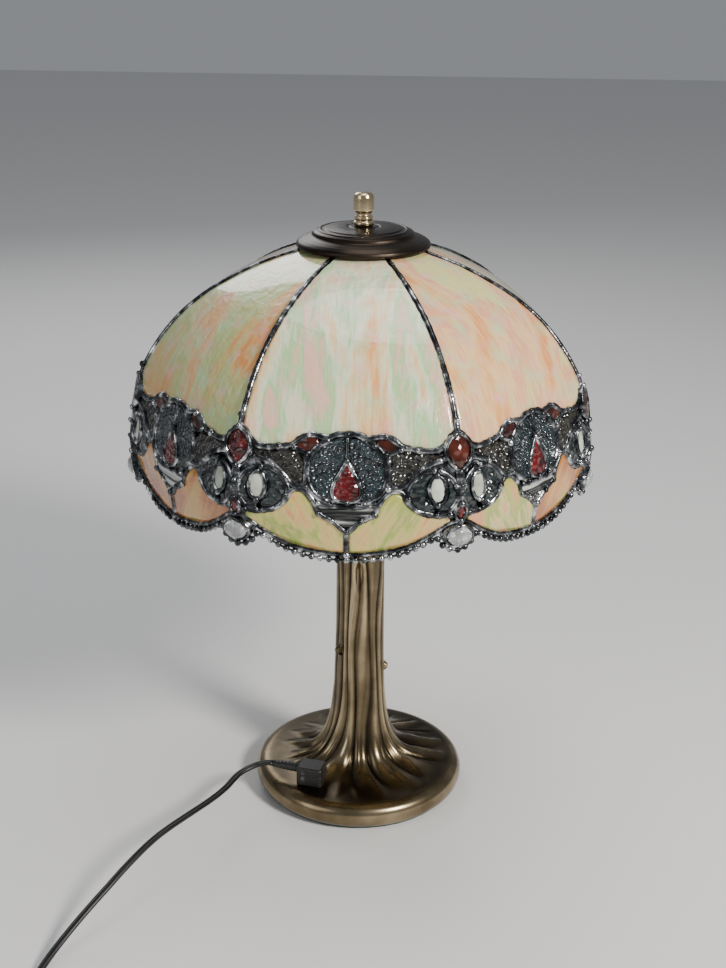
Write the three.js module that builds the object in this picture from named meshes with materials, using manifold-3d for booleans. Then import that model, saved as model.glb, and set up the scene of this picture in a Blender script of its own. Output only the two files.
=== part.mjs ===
// Stained glass table lamp: a seven-panel leaded shade on a tree-trunk base.
// Millimetres, +Z up. The origin is the centre of the felt pad's underside, and
// the middle of the shade's front panel faces -Y.
import * as THREE from "three";
import { mergeVertices } from "three/addons/utils/BufferGeometryUtils.js";
import Module from "manifold-3d";

// --- clearances ---------------------------------------------------------------
const GAP = 0.3; // between pieces that touch
const RUNNING_GAP = 0.6; // between pieces that turn or slide on each other

// --- base and trunk -----------------------------------------------------------
const BASE_RADIUS = 80;
const BASE_TOP = 20.4; // height of the dish's flat top
const BASE_WALL = 13; // from the recess out to the lip
const DISH_PLATE = 4.9; // metal over the recess
const PAD_THICKNESS = 1.8;
const PAD_INSET = 6;
const TRUNK_TOP = 250;
const TRUNK_RADIUS = 17.8;
const ROOT_SPREAD = 34; // how far the roots reach past the trunk
const TRUNK_GROOVE = 1.1;
const TRUNK_CORE_RADIUS = 11;
const CORE_ROOF = 9; // metal over the trunk's hollow core
const WEIGHT_THICKNESS = 9;
const WEIGHT_BORE_RADIUS = 20;
const LEAD_SLOT = 8; // notch in the weight for the inner lead

// --- lamp pipe, socket and bulb -------------------------------------------------
const PIPE_RADIUS = 5;
const PIPE_BORE = 3.2;
const NUT_FLATS = 16;
const NUT_THICKNESS = 3.5;
const WASHER_RADIUS = 16;
const WASHER_THICKNESS = 1.5;
const SOCKET_RADIUS = 16.5;
const SOCKET_WALL = 1.2;
const SOCKET_CAP_HEIGHT = 15;
const SOCKET_SHELL_HEIGHT = 50;
const LINER_FLOOR = 15;
const LINER_WALL = 1.3;
const BULB_BASE_RADIUS = 13.1;
const BULB_BASE_HEIGHT = 26;
const BULB_RADIUS = 29;
const BULB_HEIGHT = 84;
const BULB_WALL = 1;
const KEY_SHAFT_RADIUS = 1.6;
const KEY_REACH = 33; // from the axis to the key's outer edge

// --- harp, seat, cap and finial ---------------------------------------------------
const HARP_HALF_WIDTH = 45;
const HARP_RISE = 162; // from the trunk's top to the harp's crown
const HARP_STRIP = 2.2;
const HARP_DEPTH = 6;
const SADDLE_HALF = 21;
const SADDLE_THICKNESS = 2;
const SADDLE_SIDE = 0.7; // metal beside the pipe's hole
const SADDLE_EAR = 14;
const STUD_RADIUS = 3;
const SEAT_OVERHANG = 5.6; // from the neck ring out to the seat's edge
const SEAT_HEIGHT = 5.2;
const SEAT_PLATE = 1.5;
const NECK_RING_RADIUS = 33.4;
const NECK_RING_WALL = 1.6;
const NECK_RING_HEIGHT = 11.4;
const SEAM_TUCK = 0.6; // how far a seam's lead runs on into the neck ring
const CAP_RADIUS = 46.5;
const CAP_SHEET = 1.4;
const CAP_LEDGE_OVERHANG = 2.6; // from the neck ring out to the ledge's edge
const CAP_STEP = 4.5; // from the ledge's edge in to the top disc
const CAP_DISC_RISE = 6; // from the ledge to the top disc
const FINIAL_RADIUS = 7;
const FINIAL_HEIGHT = 23;
const FINIAL_BORE_DEPTH = 9.4;

// --- shade ----------------------------------------------------------------------
const SECTORS = 7;
const SHADE_RADIUS = 164;
const SHADE_HEIGHT = 168;
const GLASS = 3;
const LEAD = 3.4; // width of a lead bar between two panes
const LEAD_PROUD = 1.1; // lead above and below the glass
const FLAT_ABOVE = 0.62; // 0 is a round shade, 1 a flat-sided one
const FLAT_AT_RIM = 0.4;
const ROUND_NECK = 30; // the panels are round at the neck and flatten this far out
const BAND_TOP = 71.5; // heights above the rim's lowest point
const FLOWER_BUMP = 8.5;
const DIAMOND_BUMP = 9.5;
const EYE_HEIGHT = 44;
const EYE_RADIUS = 15;
const WING_HEIGHT = 48.7;
const CALYX_HEIGHT = 37;
const CALYX_TIP = 18;
const CALYX_HALF_WIDTH = 16.5;
const SCALLOP_RISE = 21; // from the rim's lowest point to its ends
const SEAM_MARGIN = 7; // a scallop ends this far short of the seam
const BAND_STEPS = 12; // straight stretches of a band lead in one sector
const CABOCHON = { half: 8.5, rise: 6.2, depth: 3.4, height: 15 };

// --- cord -----------------------------------------------------------------------
const CORD_WIDTH = 5.2;
const CORD_THICKNESS = 3.2;
const CLAMP = { length: 20, width: 16.5, height: 15, x: -33.1, y: -45, turn: 168 };
const RELIEF_LENGTH = 20;
const RELIEF_RADIUS = 4.4;
const CORD_AXIS = 10.5; // height of the cord's centre over the dish, at the clamp
const COIL = { x: -157.2, y: -306, inner: 25.4, columns: 2, layers: 4, lift: 1.3 };
const TIE_WIDTH = 7;
const TIE_SHEET = 0.8;
const PLUG_LENGTH = 34;

// --- heights that follow from the sizes above -----------------------------------
const castingBottom = PAD_THICKNESS + GAP;
const recessTop = BASE_TOP - DISH_PLATE;
const washerTop = recessTop - GAP;
const nutTop = washerTop - WASHER_THICKNESS - GAP;
const pipeBottom = nutTop - NUT_THICKNESS - 1;
const saddleBottom = TRUNK_TOP + GAP;
const saddleTop = saddleBottom + SADDLE_THICKNESS;
const socketBottom = saddleTop + GAP;
const pipeTop = socketBottom + 4;
const shellBottom = socketBottom + SOCKET_CAP_HEIGHT + GAP;
const shellTop = shellBottom + SOCKET_SHELL_HEIGHT;
const linerFloor = shellBottom + LINER_FLOOR;
const linerRadius = SOCKET_RADIUS - SOCKET_WALL - GAP;
const keyZ = shellBottom + LINER_FLOOR / 2;
const bulbBottom = linerFloor + RUNNING_GAP + 6;
const bulbNeck = bulbBottom + BULB_BASE_HEIGHT;
const crownTop = TRUNK_TOP + HARP_RISE;
const seatBottom = crownTop + GAP;
const seatTop = seatBottom + SEAT_HEIGHT;
const neckRingBottom = seatTop + GAP;
const neckRingTop = neckRingBottom + NECK_RING_HEIGHT;
const neckZ = neckRingBottom + 6.2; // outer face of the glass at the neck
const neckRadius = NECK_RING_RADIUS + 2 * GAP + 0.4;
const seatRadius = NECK_RING_RADIUS + SEAT_OVERHANG;
const capLedgeRadius = NECK_RING_RADIUS + CAP_LEDGE_OVERHANG;
const capDiscRadius = capLedgeRadius - CAP_STEP;
const rimZ = neckZ - SHADE_HEIGHT;
const ledgeTop = neckRingTop + GAP + CAP_SHEET;
const capTop = ledgeTop + CAP_DISC_RISE;
const finialBottom = capTop + GAP;
const studTop = finialBottom + FINIAL_BORE_DEPTH - RUNNING_GAP;
const sectorAngle = (2 * Math.PI) / SECTORS;
const seamHalf = (SHADE_RADIUS - 5) * Math.sin(sectorAngle / 2);
const paneMargin = LEAD / 2 + GAP + 0.4;
const coilOuter = COIL.inner + COIL.columns * CORD_WIDTH;
const coilTop = COIL.lift + COIL.layers * CORD_THICKNESS;

const wasm = await Module();
wasm.setup();

const FINISH = {
  bronze: new THREE.MeshStandardMaterial({ color: 0x6b5236, roughness: 0.35, metalness: 0.9 }),
  darkBronze: new THREE.MeshStandardMaterial({ color: 0x2b211a, roughness: 0.35, metalness: 0.85 }),
  brass: new THREE.MeshStandardMaterial({ color: 0xb08a4a, roughness: 0.22, metalness: 1 }),
  steel: new THREE.MeshStandardMaterial({ color: 0x8c8c8a, roughness: 0.4, metalness: 1 }),
  iron: new THREE.MeshStandardMaterial({ color: 0x3c3b3a, roughness: 0.7, metalness: 0.6 }),
  lead: new THREE.MeshStandardMaterial({ color: 0x4a4c50, roughness: 0.4, metalness: 0.9 }),
  felt: new THREE.MeshStandardMaterial({ color: 0x1f3a2a, roughness: 1, metalness: 0 }),
  phenolic: new THREE.MeshStandardMaterial({ color: 0x17110e, roughness: 0.5, metalness: 0 }),
  cord: new THREE.MeshStandardMaterial({ color: 0x101011, roughness: 0.45, metalness: 0 }),
  opal: new THREE.MeshStandardMaterial({ color: 0xdedccb, roughness: 0.15, metalness: 0 }),
  band: new THREE.MeshStandardMaterial({ color: 0x3a3638, roughness: 0.2, metalness: 0 }),
  amber: new THREE.MeshStandardMaterial({ color: 0xd0a070, roughness: 0.15, metalness: 0 }),
  clear: new THREE.MeshStandardMaterial({ color: 0xd8dcdc, roughness: 0.05, metalness: 0 }),
};

const lamp = new THREE.Group();

// --- geometry helpers -------------------------------------------------------------
const along = (count, at) => Array.from({ length: count + 1 }, (_, i) => at(i / count));

// One indexed, closed surface with shared corners and its faces outwards.
function closed(source) {
  const bare = source.clone();
  bare.deleteAttribute("normal");
  bare.deleteAttribute("uv");
  const merged = mergeVertices(bare, 1e-4);
  const point = merged.attributes.position;
  const corner = (i) => new THREE.Vector3().fromBufferAttribute(point, i);
  let volume = 0;
  let faces = [];
  for (let i = 0; i < merged.index.count; i += 3) {
    const [a, b, c] = [0, 1, 2].map((k) => merged.index.getX(i + k));
    if (a === b || b === c || a === c) continue;
    volume += corner(a).dot(corner(b).cross(corner(c)));
    faces.push([a, b, c]);
  }
  if (volume < 0) faces = faces.map(([a, b, c]) => [a, c, b]);
  merged.setIndex(faces.flat());
  return merged;
}

function solidOf(geometry) {
  const { attributes, index } = closed(geometry);
  return new wasm.Manifold(
    new wasm.Mesh({
      numProp: 3,
      vertProperties: Float32Array.from(attributes.position.array),
      triVerts: Uint32Array.from(index.array),
    }),
  );
}

function geometryOf(solid) {
  const mesh = solid.getMesh();
  const geometry = new THREE.BufferGeometry();
  geometry.setAttribute("position", new THREE.BufferAttribute(mesh.vertProperties, 3));
  geometry.setIndex(new THREE.BufferAttribute(mesh.triVerts, 1));
  return geometry;
}

function add(name, geometry, finish) {
  const finished = closed(geometry).toNonIndexed();
  finished.computeVertexNormals();
  const mesh = new THREE.Mesh(finished, finish);
  mesh.name = name;
  lamp.add(mesh);
  return mesh;
}

// Turns an outline of [radius, height] points about the lamp's axis.
function turned(outline, segments = 32) {
  const points = outline.map(([r, z]) => new THREE.Vector2(r, z));
  return new THREE.LatheGeometry(points, segments).rotateX(Math.PI / 2);
}

// A closed outline that stays clear of the axis: a ring with a round hole.
function ring(outline, segments = 32) {
  return turned([...outline, outline[0]], segments);
}

function tubeRing(inner, outer, bottom, top, segments = 32) {
  return ring([[inner, bottom], [outer, bottom], [outer, top], [inner, top]], segments);
}

function rod(radius, bottom, top, segments = 24) {
  return turned([[0, bottom], [radius, bottom], [radius, top], [0, top]], segments);
}

// A sheet of points closed by its far face and four edges: place(u, v, side) puts
// each one, with side 0 the outer face and side 1 the inner.
function sheet(columns, rows, place) {
  const stride = columns + 1;
  const layer = stride * (rows + 1);
  const positions = [];
  const index = [];
  const at = (i, j, side) => side * layer + j * stride + i;
  const quad = (a, b, c, d) => index.push(a, b, c, a, c, d);
  for (const side of [0, 1]) {
    for (let j = 0; j <= rows; j++) {
      for (let i = 0; i <= columns; i++) {
        positions.push(...place(i / columns, j / rows, side));
      }
    }
  }
  for (let j = 0; j < rows; j++) {
    for (let i = 0; i < columns; i++) {
      quad(at(i, j, 0), at(i + 1, j, 0), at(i + 1, j + 1, 0), at(i, j + 1, 0));
      quad(at(i, j, 1), at(i, j + 1, 1), at(i + 1, j + 1, 1), at(i + 1, j, 1));
    }
  }
  for (let i = 0; i < columns; i++) {
    quad(at(i, 0, 0), at(i, 0, 1), at(i + 1, 0, 1), at(i + 1, 0, 0));
    quad(at(i, rows, 0), at(i + 1, rows, 0), at(i + 1, rows, 1), at(i, rows, 1));
  }
  for (let j = 0; j < rows; j++) {
    quad(at(0, j, 0), at(0, j + 1, 0), at(0, j + 1, 1), at(0, j, 1));
    quad(at(columns, j, 0), at(columns, j, 1), at(columns, j + 1, 1), at(columns, j + 1, 0));
  }
  const geometry = new THREE.BufferGeometry();
  geometry.setAttribute("position", new THREE.Float32BufferAttribute(positions, 3));
  geometry.setIndex(index);
  return geometry;
}

// --- the shade's surface ------------------------------------------------------------
// Shares of the way out from the neck and up from the rim, along one seam.
const SEAM_SHARES = [
  [0, 1], [0.1, 0.98], [0.292, 0.932], [0.477, 0.865], [0.6, 0.807], [0.735, 0.72],
  [0.862, 0.597], [0.946, 0.467], [0.989, 0.298], [1, 0.19], [0.962, 0],
];
const seamCurve = new THREE.SplineCurve(
  SEAM_SHARES.map(
    ([out, up]) =>
      new THREE.Vector2(
        neckRadius + (SHADE_RADIUS - neckRadius) * out,
        rimZ + SHADE_HEIGHT * up,
      ),
  ),
);

// The spline's parameter at a height, by halving: the curve only ever falls.
function seamParameter(z) {
  let low = 0;
  let high = 1;
  for (let i = 0; i < 30; i++) {
    const middle = (low + high) / 2;
    if (seamCurve.getPoint(middle).y > z) low = middle;
    else high = middle;
  }
  return (low + high) / 2;
}

// The shade's radius at a height and at an angle from its sector's middle.
function shadeRadius(seam, z, angle) {
  const share = THREE.MathUtils.clamp((z - rimZ) / BAND_TOP, 0, 1);
  const fromNeck = THREE.MathUtils.clamp((seam - neckRadius) / ROUND_NECK, 0, 1);
  const flat = fromNeck * (FLAT_AT_RIM + (FLAT_ABOVE - FLAT_AT_RIM) * share);
  return seam * (1 - flat * (1 - Math.cos(sectorAngle / 2) / Math.cos(angle)));
}

// A point of the shade: across is measured sideways from the sector's middle, t is
// the seam curve's parameter and depth goes in from the outer face.
function shadePoint(sector, across, t, depth) {
  const on = seamCurve.getPoint(t);
  const way = seamCurve.getTangent(t);
  const out = -way.y;
  const up = way.x;
  let angle = 0;
  for (let i = 0; i < 6; i++) angle = Math.asin(across / shadeRadius(on.x, on.y, angle));
  const r = shadeRadius(on.x, on.y, angle) - depth * out;
  const turn = sector * sectorAngle + angle;
  return new THREE.Vector3(r * Math.sin(turn), -r * Math.cos(turn), on.y - depth * up);
}

// The same at a height, with across scaled so that every height's seam is at seamHalf.
// A margin stops it short of the seam.
function shadeAt(sector, across, z, depth, margin = 0) {
  const t = seamParameter(z);
  const half = seamCurve.getPoint(t).x * Math.sin(sectorAngle / 2) - margin;
  return shadePoint(sector, (half * across) / seamHalf, t, depth);
}

const bump = (across, centre, width) =>
  Math.abs(across - centre) < width
    ? 0.5 + 0.5 * Math.cos((Math.PI * (across - centre)) / width)
    : 0;

// Height of the lead between the main panel and the band.
function bandTop(across) {
  const x = Math.abs(across);
  const flower = FLOWER_BUMP * Math.max(bump(x, 0, 24), 0.85 * bump(x, 27, 16));
  return rimZ + BAND_TOP + flower + DIAMOND_BUMP * bump(x, seamHalf, 13);
}

// Height of the lead between the band and the scalloped lower panes.
function bandBottom(across) {
  const x = Math.abs(across);
  const eyeAcross = seamHalf - EYE_RADIUS;
  if (x > eyeAcross - EYE_RADIUS) {
    const off = Math.min(Math.abs(x - eyeAcross) / EYE_RADIUS, 1);
    return rimZ + EYE_HEIGHT - EYE_RADIUS * Math.sqrt(1 - off * off);
  }
  if (x > CALYX_HALF_WIDTH) {
    const share = (x - CALYX_HALF_WIDTH) / (eyeAcross - EYE_RADIUS - CALYX_HALF_WIDTH);
    return rimZ + CALYX_HEIGHT + (WING_HEIGHT - CALYX_HEIGHT) * share;
  }
  const share = x / CALYX_HALF_WIDTH;
  return rimZ + CALYX_TIP + (CALYX_HEIGHT - CALYX_TIP) * share ** 1.7;
}

// Height of the scalloped rim.
function rimHeight(across) {
  const end = seamHalf - SEAM_MARGIN;
  return rimZ + 1.8 + SCALLOP_RISE * Math.min(Math.abs(across) / end, 1) ** 2.6;
}

// The bends of a band lead between two places across the sector.
function bendsOf(height, from, to, steps) {
  return along(steps, (u) => {
    const across = from + (to - from) * u;
    return new THREE.Vector2(across, height(across));
  });
}

// The same bends moved square to the lead, up or down, to where a pane's edge runs.
// The edge's two ends lie on its own line, at the places that the pane starts and stops.
function paneEdge(height, from, to, steps, side, start, stop) {
  const bends = bendsOf(height, from, to, steps);
  const facing = side * Math.sign(to - from);
  const line = (i) => {
    const way = bends[i + 1].clone().sub(bends[i]).normalize();
    return { way, square: new THREE.Vector2(-way.y, way.x).multiplyScalar(facing) };
  };
  return bends.map((here, i) => {
    const before = line(Math.max(i - 1, 0));
    const after = line(Math.min(i, steps - 1));
    if (i > 0 && i < steps) {
      const middle = before.square.clone().add(after.square).normalize();
      return here.clone().addScaledVector(middle, paneMargin / middle.dot(before.square));
    }
    const end = here.clone().addScaledVector(before.square, paneMargin);
    return end.addScaledVector(before.way, ((i ? stop : start) - end.x) / before.way.x);
  });
}

// A pane between a lower and an upper row of edge points.
function pane(sector, rows, lower, upper) {
  return sheet(lower.length - 1, rows, (u, v, side) => {
    const i = Math.round(u * (lower.length - 1));
    const { x, y } = lower[i].clone().lerp(upper[i], v);
    return shadeAt(sector, x, y, side * GLASS);
  });
}

function mainPanel(sector) {
  const reach = seamHalf - paneMargin;
  const foot = paneEdge(bandTop, -seamHalf, seamHalf, BAND_STEPS, 1, -reach, reach);
  return sheet(BAND_STEPS, 5, (u, v, side) => {
    const { x, y } = foot[Math.round(u * BAND_STEPS)];
    const across = THREE.MathUtils.lerp((2 * u - 1) * seamHalf, x, v);
    const z = seamCurve.getPoint(v * seamParameter(y)).y;
    return shadeAt(sector, across, z, side * GLASS, paneMargin * (1 - v));
  });
}

function bandPlate(sector) {
  const reach = seamHalf - paneMargin;
  const edge = (height, side) =>
    paneEdge(height, -seamHalf, seamHalf, BAND_STEPS, side, -reach, reach);
  return pane(sector, 2, edge(bandBottom, 1), edge(bandTop, -1));
}

function scallopPane(sector, side) {
  const steps = BAND_STEPS / 2 - 1;
  const end = (side * seamHalf * steps) / (steps + 1);
  const edge = (height, way) => paneEdge(height, 0, end, steps, way, side * paneMargin, end);
  return pane(sector, 1, edge(rimHeight, 1), edge(bandBottom, -1));
}

// A lead bar along points of the shade, its section square to the surface.
function leadBar(path) {
  const half = LEAD / 2;
  const crest = -LEAD_PROUD;
  const root = GLASS + LEAD_PROUD;
  const last = path.length - 1;
  return sheet(last, 1, (u, v, side) => {
    const i = Math.round(u * last);
    const here = path[i];
    const before = path[Math.max(i - 1, 0)](0);
    const after = path[Math.min(i + 1, last)](0);
    const way = after.sub(before).normalize();
    const up = here(-1).sub(here(0)).normalize();
    const across = new THREE.Vector3().crossVectors(way, up).normalize();
    return here(side ? root : crest).addScaledVector(across, v ? half : -half);
  });
}

function seamBar(sector) {
  const end = seamParameter(rimHeight(seamHalf) - CABOCHON.rise);
  return leadBar(
    along(7, (u) => (depth) => {
      const t = u * end;
      const on = seamCurve.getPoint(t);
      const way = seamCurve.getTangent(t);
      const tuck = u === 0 ? SEAM_TUCK : 0;
      const r = on.x + depth * way.y - tuck;
      const turn = (sector + 0.5) * sectorAngle;
      return new THREE.Vector3(r * Math.sin(turn), -r * Math.cos(turn), on.y - depth * way.x);
    }),
  );
}

function heightBar(sector, height) {
  const bends = bendsOf(height, -seamHalf, seamHalf, BAND_STEPS);
  return leadBar(bends.map(({ x, y }) => (depth) => shadeAt(sector, x, y, depth)));
}

// The soldered frame: neck ring, seams, band edges, rim and the short stem below
// each calyx, all one piece.
function leading() {
  const inner = NECK_RING_RADIUS - NECK_RING_WALL;
  let frame = solidOf(tubeRing(inner, NECK_RING_RADIUS, neckRingBottom, neckRingTop, 28));
  const join = (geometry) => {
    frame = frame.add(solidOf(geometry));
  };
  for (let sector = 0; sector < SECTORS; sector++) {
    const stem = (u) => (depth) => shadeAt(sector, 0, rimZ + 1 + CALYX_TIP * u, depth);
    join(seamBar(sector));
    join(heightBar(sector, bandTop));
    join(heightBar(sector, bandBottom));
    join(heightBar(sector, rimHeight));
    join(leadBar(along(2, stem)));
  }
  return geometryOf(frame);
}

// An oval glass bead standing proud of the rim, at a seam.
function cabochon(sector) {
  const t = seamParameter(rimZ + CABOCHON.height);
  const on = seamCurve.getPoint(t);
  const turn = (sector + 0.5) * sectorAngle;
  const bead = new THREE.SphereGeometry(1, 10, 6);
  bead.scale(CABOCHON.half, CABOCHON.depth, CABOCHON.rise);
  bead.translate(0, -(on.x + LEAD_PROUD + CABOCHON.depth + GAP), on.y);
  return bead.rotateZ(turn);
}

// --- base ----------------------------------------------------------------------
const BASE_RIM = [
  [-4.5, 0], [-1.6, 2.6], [-0.2, 6.6], [0, 9.6],
  [-0.6, 12.8], [-2.6, 15.9], [-6, 17.8], [-11, 18.3],
];

// The trunk's radius at a height and angle: grooved bark over roots that flare out.
function trunkRadius(z, angle) {
  const rise = (z - BASE_TOP) / (TRUNK_TOP - BASE_TOP);
  const flare = ROOT_SPREAD * Math.exp(-Math.max(z - BASE_TOP + 3, 0) / 13);
  const bark = Math.sin(9 * angle + 5 * rise) + 0.5 * Math.sin(5 * angle - 7 * rise + 1);
  const roots = 0.62 + 0.24 * Math.sin(7 * angle + 0.7) + 0.14 * Math.sin(3 * angle + 2);
  return TRUNK_RADIUS + 2.2 * Math.exp(-rise * 5) + TRUNK_GROOVE * bark + flare * roots;
}

function trunk() {
  const rings = 10;
  const around = 30;
  const foot = BASE_TOP - 2;
  return sheet(around, rings, (u, v, side) => {
    const z = foot + (TRUNK_TOP - foot) * v ** 1.9;
    const angle = u * 2 * Math.PI;
    const r = side ? TRUNK_CORE_RADIUS - 2 : trunkRadius(z, angle);
    return [r * Math.sin(angle), -r * Math.cos(angle), z];
  });
}

function knot(z, angle, size) {
  const bud = new THREE.SphereGeometry(size, 10, 7);
  const r = trunkRadius(z, angle) - size * 0.1;
  return bud.translate(r * Math.sin(angle), -r * Math.cos(angle), z);
}

// The clamp's own frame: +X along the cord as it leaves, seated on the dish.
const clampPlace = new THREE.Matrix4()
  .makeTranslation(CLAMP.x, CLAMP.y, BASE_TOP + GAP)
  .multiply(new THREE.Matrix4().makeRotationZ(THREE.MathUtils.degToRad(CLAMP.turn)));

function clampBlock(margin) {
  const block = new THREE.BoxGeometry(
    CLAMP.length + 2 * margin,
    CLAMP.width + 2 * margin,
    CLAMP.height + 2 * margin,
  );
  return block.translate(0, 0, CLAMP.height / 2).applyMatrix4(clampPlace);
}

function baseCasting() {
  const dish = BASE_RIM.map(([out, up]) => [BASE_RADIUS + out, castingBottom + up]);
  const [lowest] = dish;
  const outline = [[0, lowest[1]], ...dish, [BASE_RADIUS - 22, BASE_TOP], [0, BASE_TOP]];
  const core = rod(TRUNK_CORE_RADIUS, recessTop - 1, TRUNK_TOP - CORE_ROOF);
  const bore = rod(PIPE_RADIUS + GAP, TRUNK_TOP - CORE_ROOF - 1, TRUNK_TOP + 1);
  const roof = rod(TRUNK_CORE_RADIUS - 1, TRUNK_TOP - CORE_ROOF, TRUNK_TOP);
  const recess = rod(BASE_RADIUS - BASE_WALL, castingBottom - 1, recessTop, 32);
  const leadHole = rod(LEAD_SLOT / 2, recessTop - 1, BASE_TOP + 1, 12);
  return geometryOf(
    solidOf(turned(outline, 32))
      .add(solidOf(trunk()))
      .add(solidOf(roof))
      .add(solidOf(knot(116, THREE.MathUtils.degToRad(-52), 5)))
      .add(solidOf(knot(100, THREE.MathUtils.degToRad(82), 4.5)))
      .subtract(solidOf(core))
      .subtract(solidOf(bore))
      .subtract(solidOf(recess))
      .subtract(solidOf(clampBlock(GAP)))
      .subtract(solidOf(leadHole.translate(CLAMP.x, CLAMP.y, 0))),
  );
}

function baseWeight() {
  const outer = BASE_RADIUS - BASE_WALL - 4;
  const top = recessTop - GAP;
  const disc = tubeRing(WEIGHT_BORE_RADIUS, outer, top - WEIGHT_THICKNESS, top, 40);
  const slotLength = Math.hypot(CLAMP.x, CLAMP.y) + LEAD_SLOT / 2;
  const slotAngle = Math.atan2(CLAMP.y, CLAMP.x);
  const slot = new THREE.BoxGeometry(slotLength, LEAD_SLOT, 2 * WEIGHT_THICKNESS + 4);
  slot.translate(slotLength / 2, 0, top - WEIGHT_THICKNESS / 2).rotateZ(slotAngle);
  return geometryOf(solidOf(disc).subtract(solidOf(slot)));
}

// The lead from the clamp down through the dish, along the notch and up the pipe.
function innerLead() {
  const low = castingBottom + 2.4;
  const reach = Math.hypot(CLAMP.x, CLAMP.y);
  const at = (out, z) => new THREE.Vector3((CLAMP.x * out) / reach, (CLAMP.y * out) / reach, z);
  const path = new THREE.CatmullRomCurve3(
    [
      at(reach, BASE_TOP - 0.2), at(reach, recessTop - 4), at(reach - 2, low + 2.5),
      at(reach - 6, low), at(30, low), at(15, low), at(4, low), at(0.5, low + 2.1),
      at(0, low + 6), at(0, TRUNK_TOP / 2), at(0, pipeTop - 2),
    ],
    false,
    "centripetal",
  );
  return extrudeAlong(regular(8, 1.4, 1.4), path, 30);
}

function regular(sides, rx, ry) {
  const shape = new THREE.Shape();
  for (let i = 0; i < sides; i++) {
    const turn = ((i + 0.5) / sides) * 2 * Math.PI;
    if (i) shape.lineTo(rx * Math.cos(turn), ry * Math.sin(turn));
    else shape.moveTo(rx * Math.cos(turn), ry * Math.sin(turn));
  }
  shape.closePath();
  return shape;
}

function extrudeAlong(shape, path, steps) {
  return new THREE.ExtrudeGeometry(shape, { steps, extrudePath: path, curveSegments: 1 });
}

// A flat outline in X and Z, given a thickness along Y.
function slab(outline, depth) {
  const shape = new THREE.Shape(outline.map(([x, z]) => new THREE.Vector2(x, z)));
  const block = new THREE.ExtrudeGeometry(shape, { depth, bevelEnabled: false });
  return block.rotateX(Math.PI / 2).translate(0, depth / 2, 0);
}

// A strip of even width along a path of [x, z] points.
function strip(path, width, depth) {
  const offset = (side) =>
    path.map(([x, z], i) => {
      const [ax, az] = path[Math.max(i - 1, 0)];
      const [bx, bz] = path[Math.min(i + 1, path.length - 1)];
      const length = Math.hypot(bx - ax, bz - az);
      const shift = (side * width) / 2 / length;
      return [x - (bz - az) * shift, z + (bx - ax) * shift];
    });
  return slab([...offset(1), ...offset(-1).reverse()], depth);
}

// --- pipe, socket, bulb -----------------------------------------------------------
function hexNut() {
  const nut = new THREE.CylinderGeometry(
    NUT_FLATS / Math.sqrt(3),
    NUT_FLATS / Math.sqrt(3),
    NUT_THICKNESS,
    6,
  );
  nut.rotateX(Math.PI / 2).translate(0, 0, nutTop - NUT_THICKNESS / 2);
  return geometryOf(solidOf(nut).subtract(solidOf(rod(PIPE_RADIUS + GAP, 0, nutTop + 1))));
}

function keyHole(radius, from, to) {
  const hole = new THREE.CylinderGeometry(radius, radius, to - from, 12);
  return hole.translate(0, -(from + to) / 2, keyZ);
}

function socketCap() {
  const top = shellBottom - GAP;
  const wall = SOCKET_WALL;
  return ring([
    [PIPE_RADIUS + GAP, socketBottom], [8, socketBottom], [9, socketBottom + 3],
    [SOCKET_RADIUS - 2, socketBottom + 7], [SOCKET_RADIUS, top],
    [SOCKET_RADIUS - wall, top], [SOCKET_RADIUS - 2 - wall, socketBottom + 8.4],
    [9 - wall, socketBottom + 5], [PIPE_RADIUS + GAP, socketBottom + 5],
  ], 24);
}

function socketShell() {
  const shell = tubeRing(SOCKET_RADIUS - SOCKET_WALL, SOCKET_RADIUS, shellBottom, shellTop);
  const hole = keyHole(KEY_SHAFT_RADIUS + RUNNING_GAP, SOCKET_RADIUS - 4, SOCKET_RADIUS + 4);
  return geometryOf(solidOf(shell).subtract(solidOf(hole)));
}

function socketLiner() {
  const cup = turned([
    [0, shellBottom + 0.5], [linerRadius, shellBottom + 0.5], [linerRadius, shellTop - 3],
    [linerRadius - LINER_WALL, shellTop - 3], [linerRadius - LINER_WALL, linerFloor],
    [0, linerFloor],
  ]);
  const hole = keyHole(KEY_SHAFT_RADIUS + RUNNING_GAP, linerRadius - 7, linerRadius + 4);
  return geometryOf(solidOf(cup).subtract(solidOf(hole)));
}

function switchKey() {
  const shaft = keyHole(KEY_SHAFT_RADIUS, linerRadius - 6, KEY_REACH - 9);
  const blade = new THREE.CylinderGeometry(7, 7, 3, 20).rotateZ(Math.PI / 2);
  blade.scale(1, 0.72, 1).translate(0, -(KEY_REACH - 5.04), keyZ);
  return geometryOf(solidOf(shaft).add(solidOf(blade)));
}

function bulbBase() {
  const r = BULB_BASE_RADIUS;
  const outline = [
    [0, bulbBottom - 4], [4.5, bulbBottom - 3.6], [5, bulbBottom], [r - 2, bulbBottom + 1],
  ];
  const turns = 3;
  const pitch = (BULB_BASE_HEIGHT - 6) / turns;
  for (let i = 0; i < turns; i++) {
    outline.push([r - 0.9, bulbBottom + 2 + i * pitch], [r, bulbBottom + 2 + (i + 0.5) * pitch]);
  }
  outline.push([r - 0.9, bulbNeck - 4], [r - 0.3, bulbNeck], [0, bulbNeck]);
  return turned(outline, 16);
}

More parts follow.
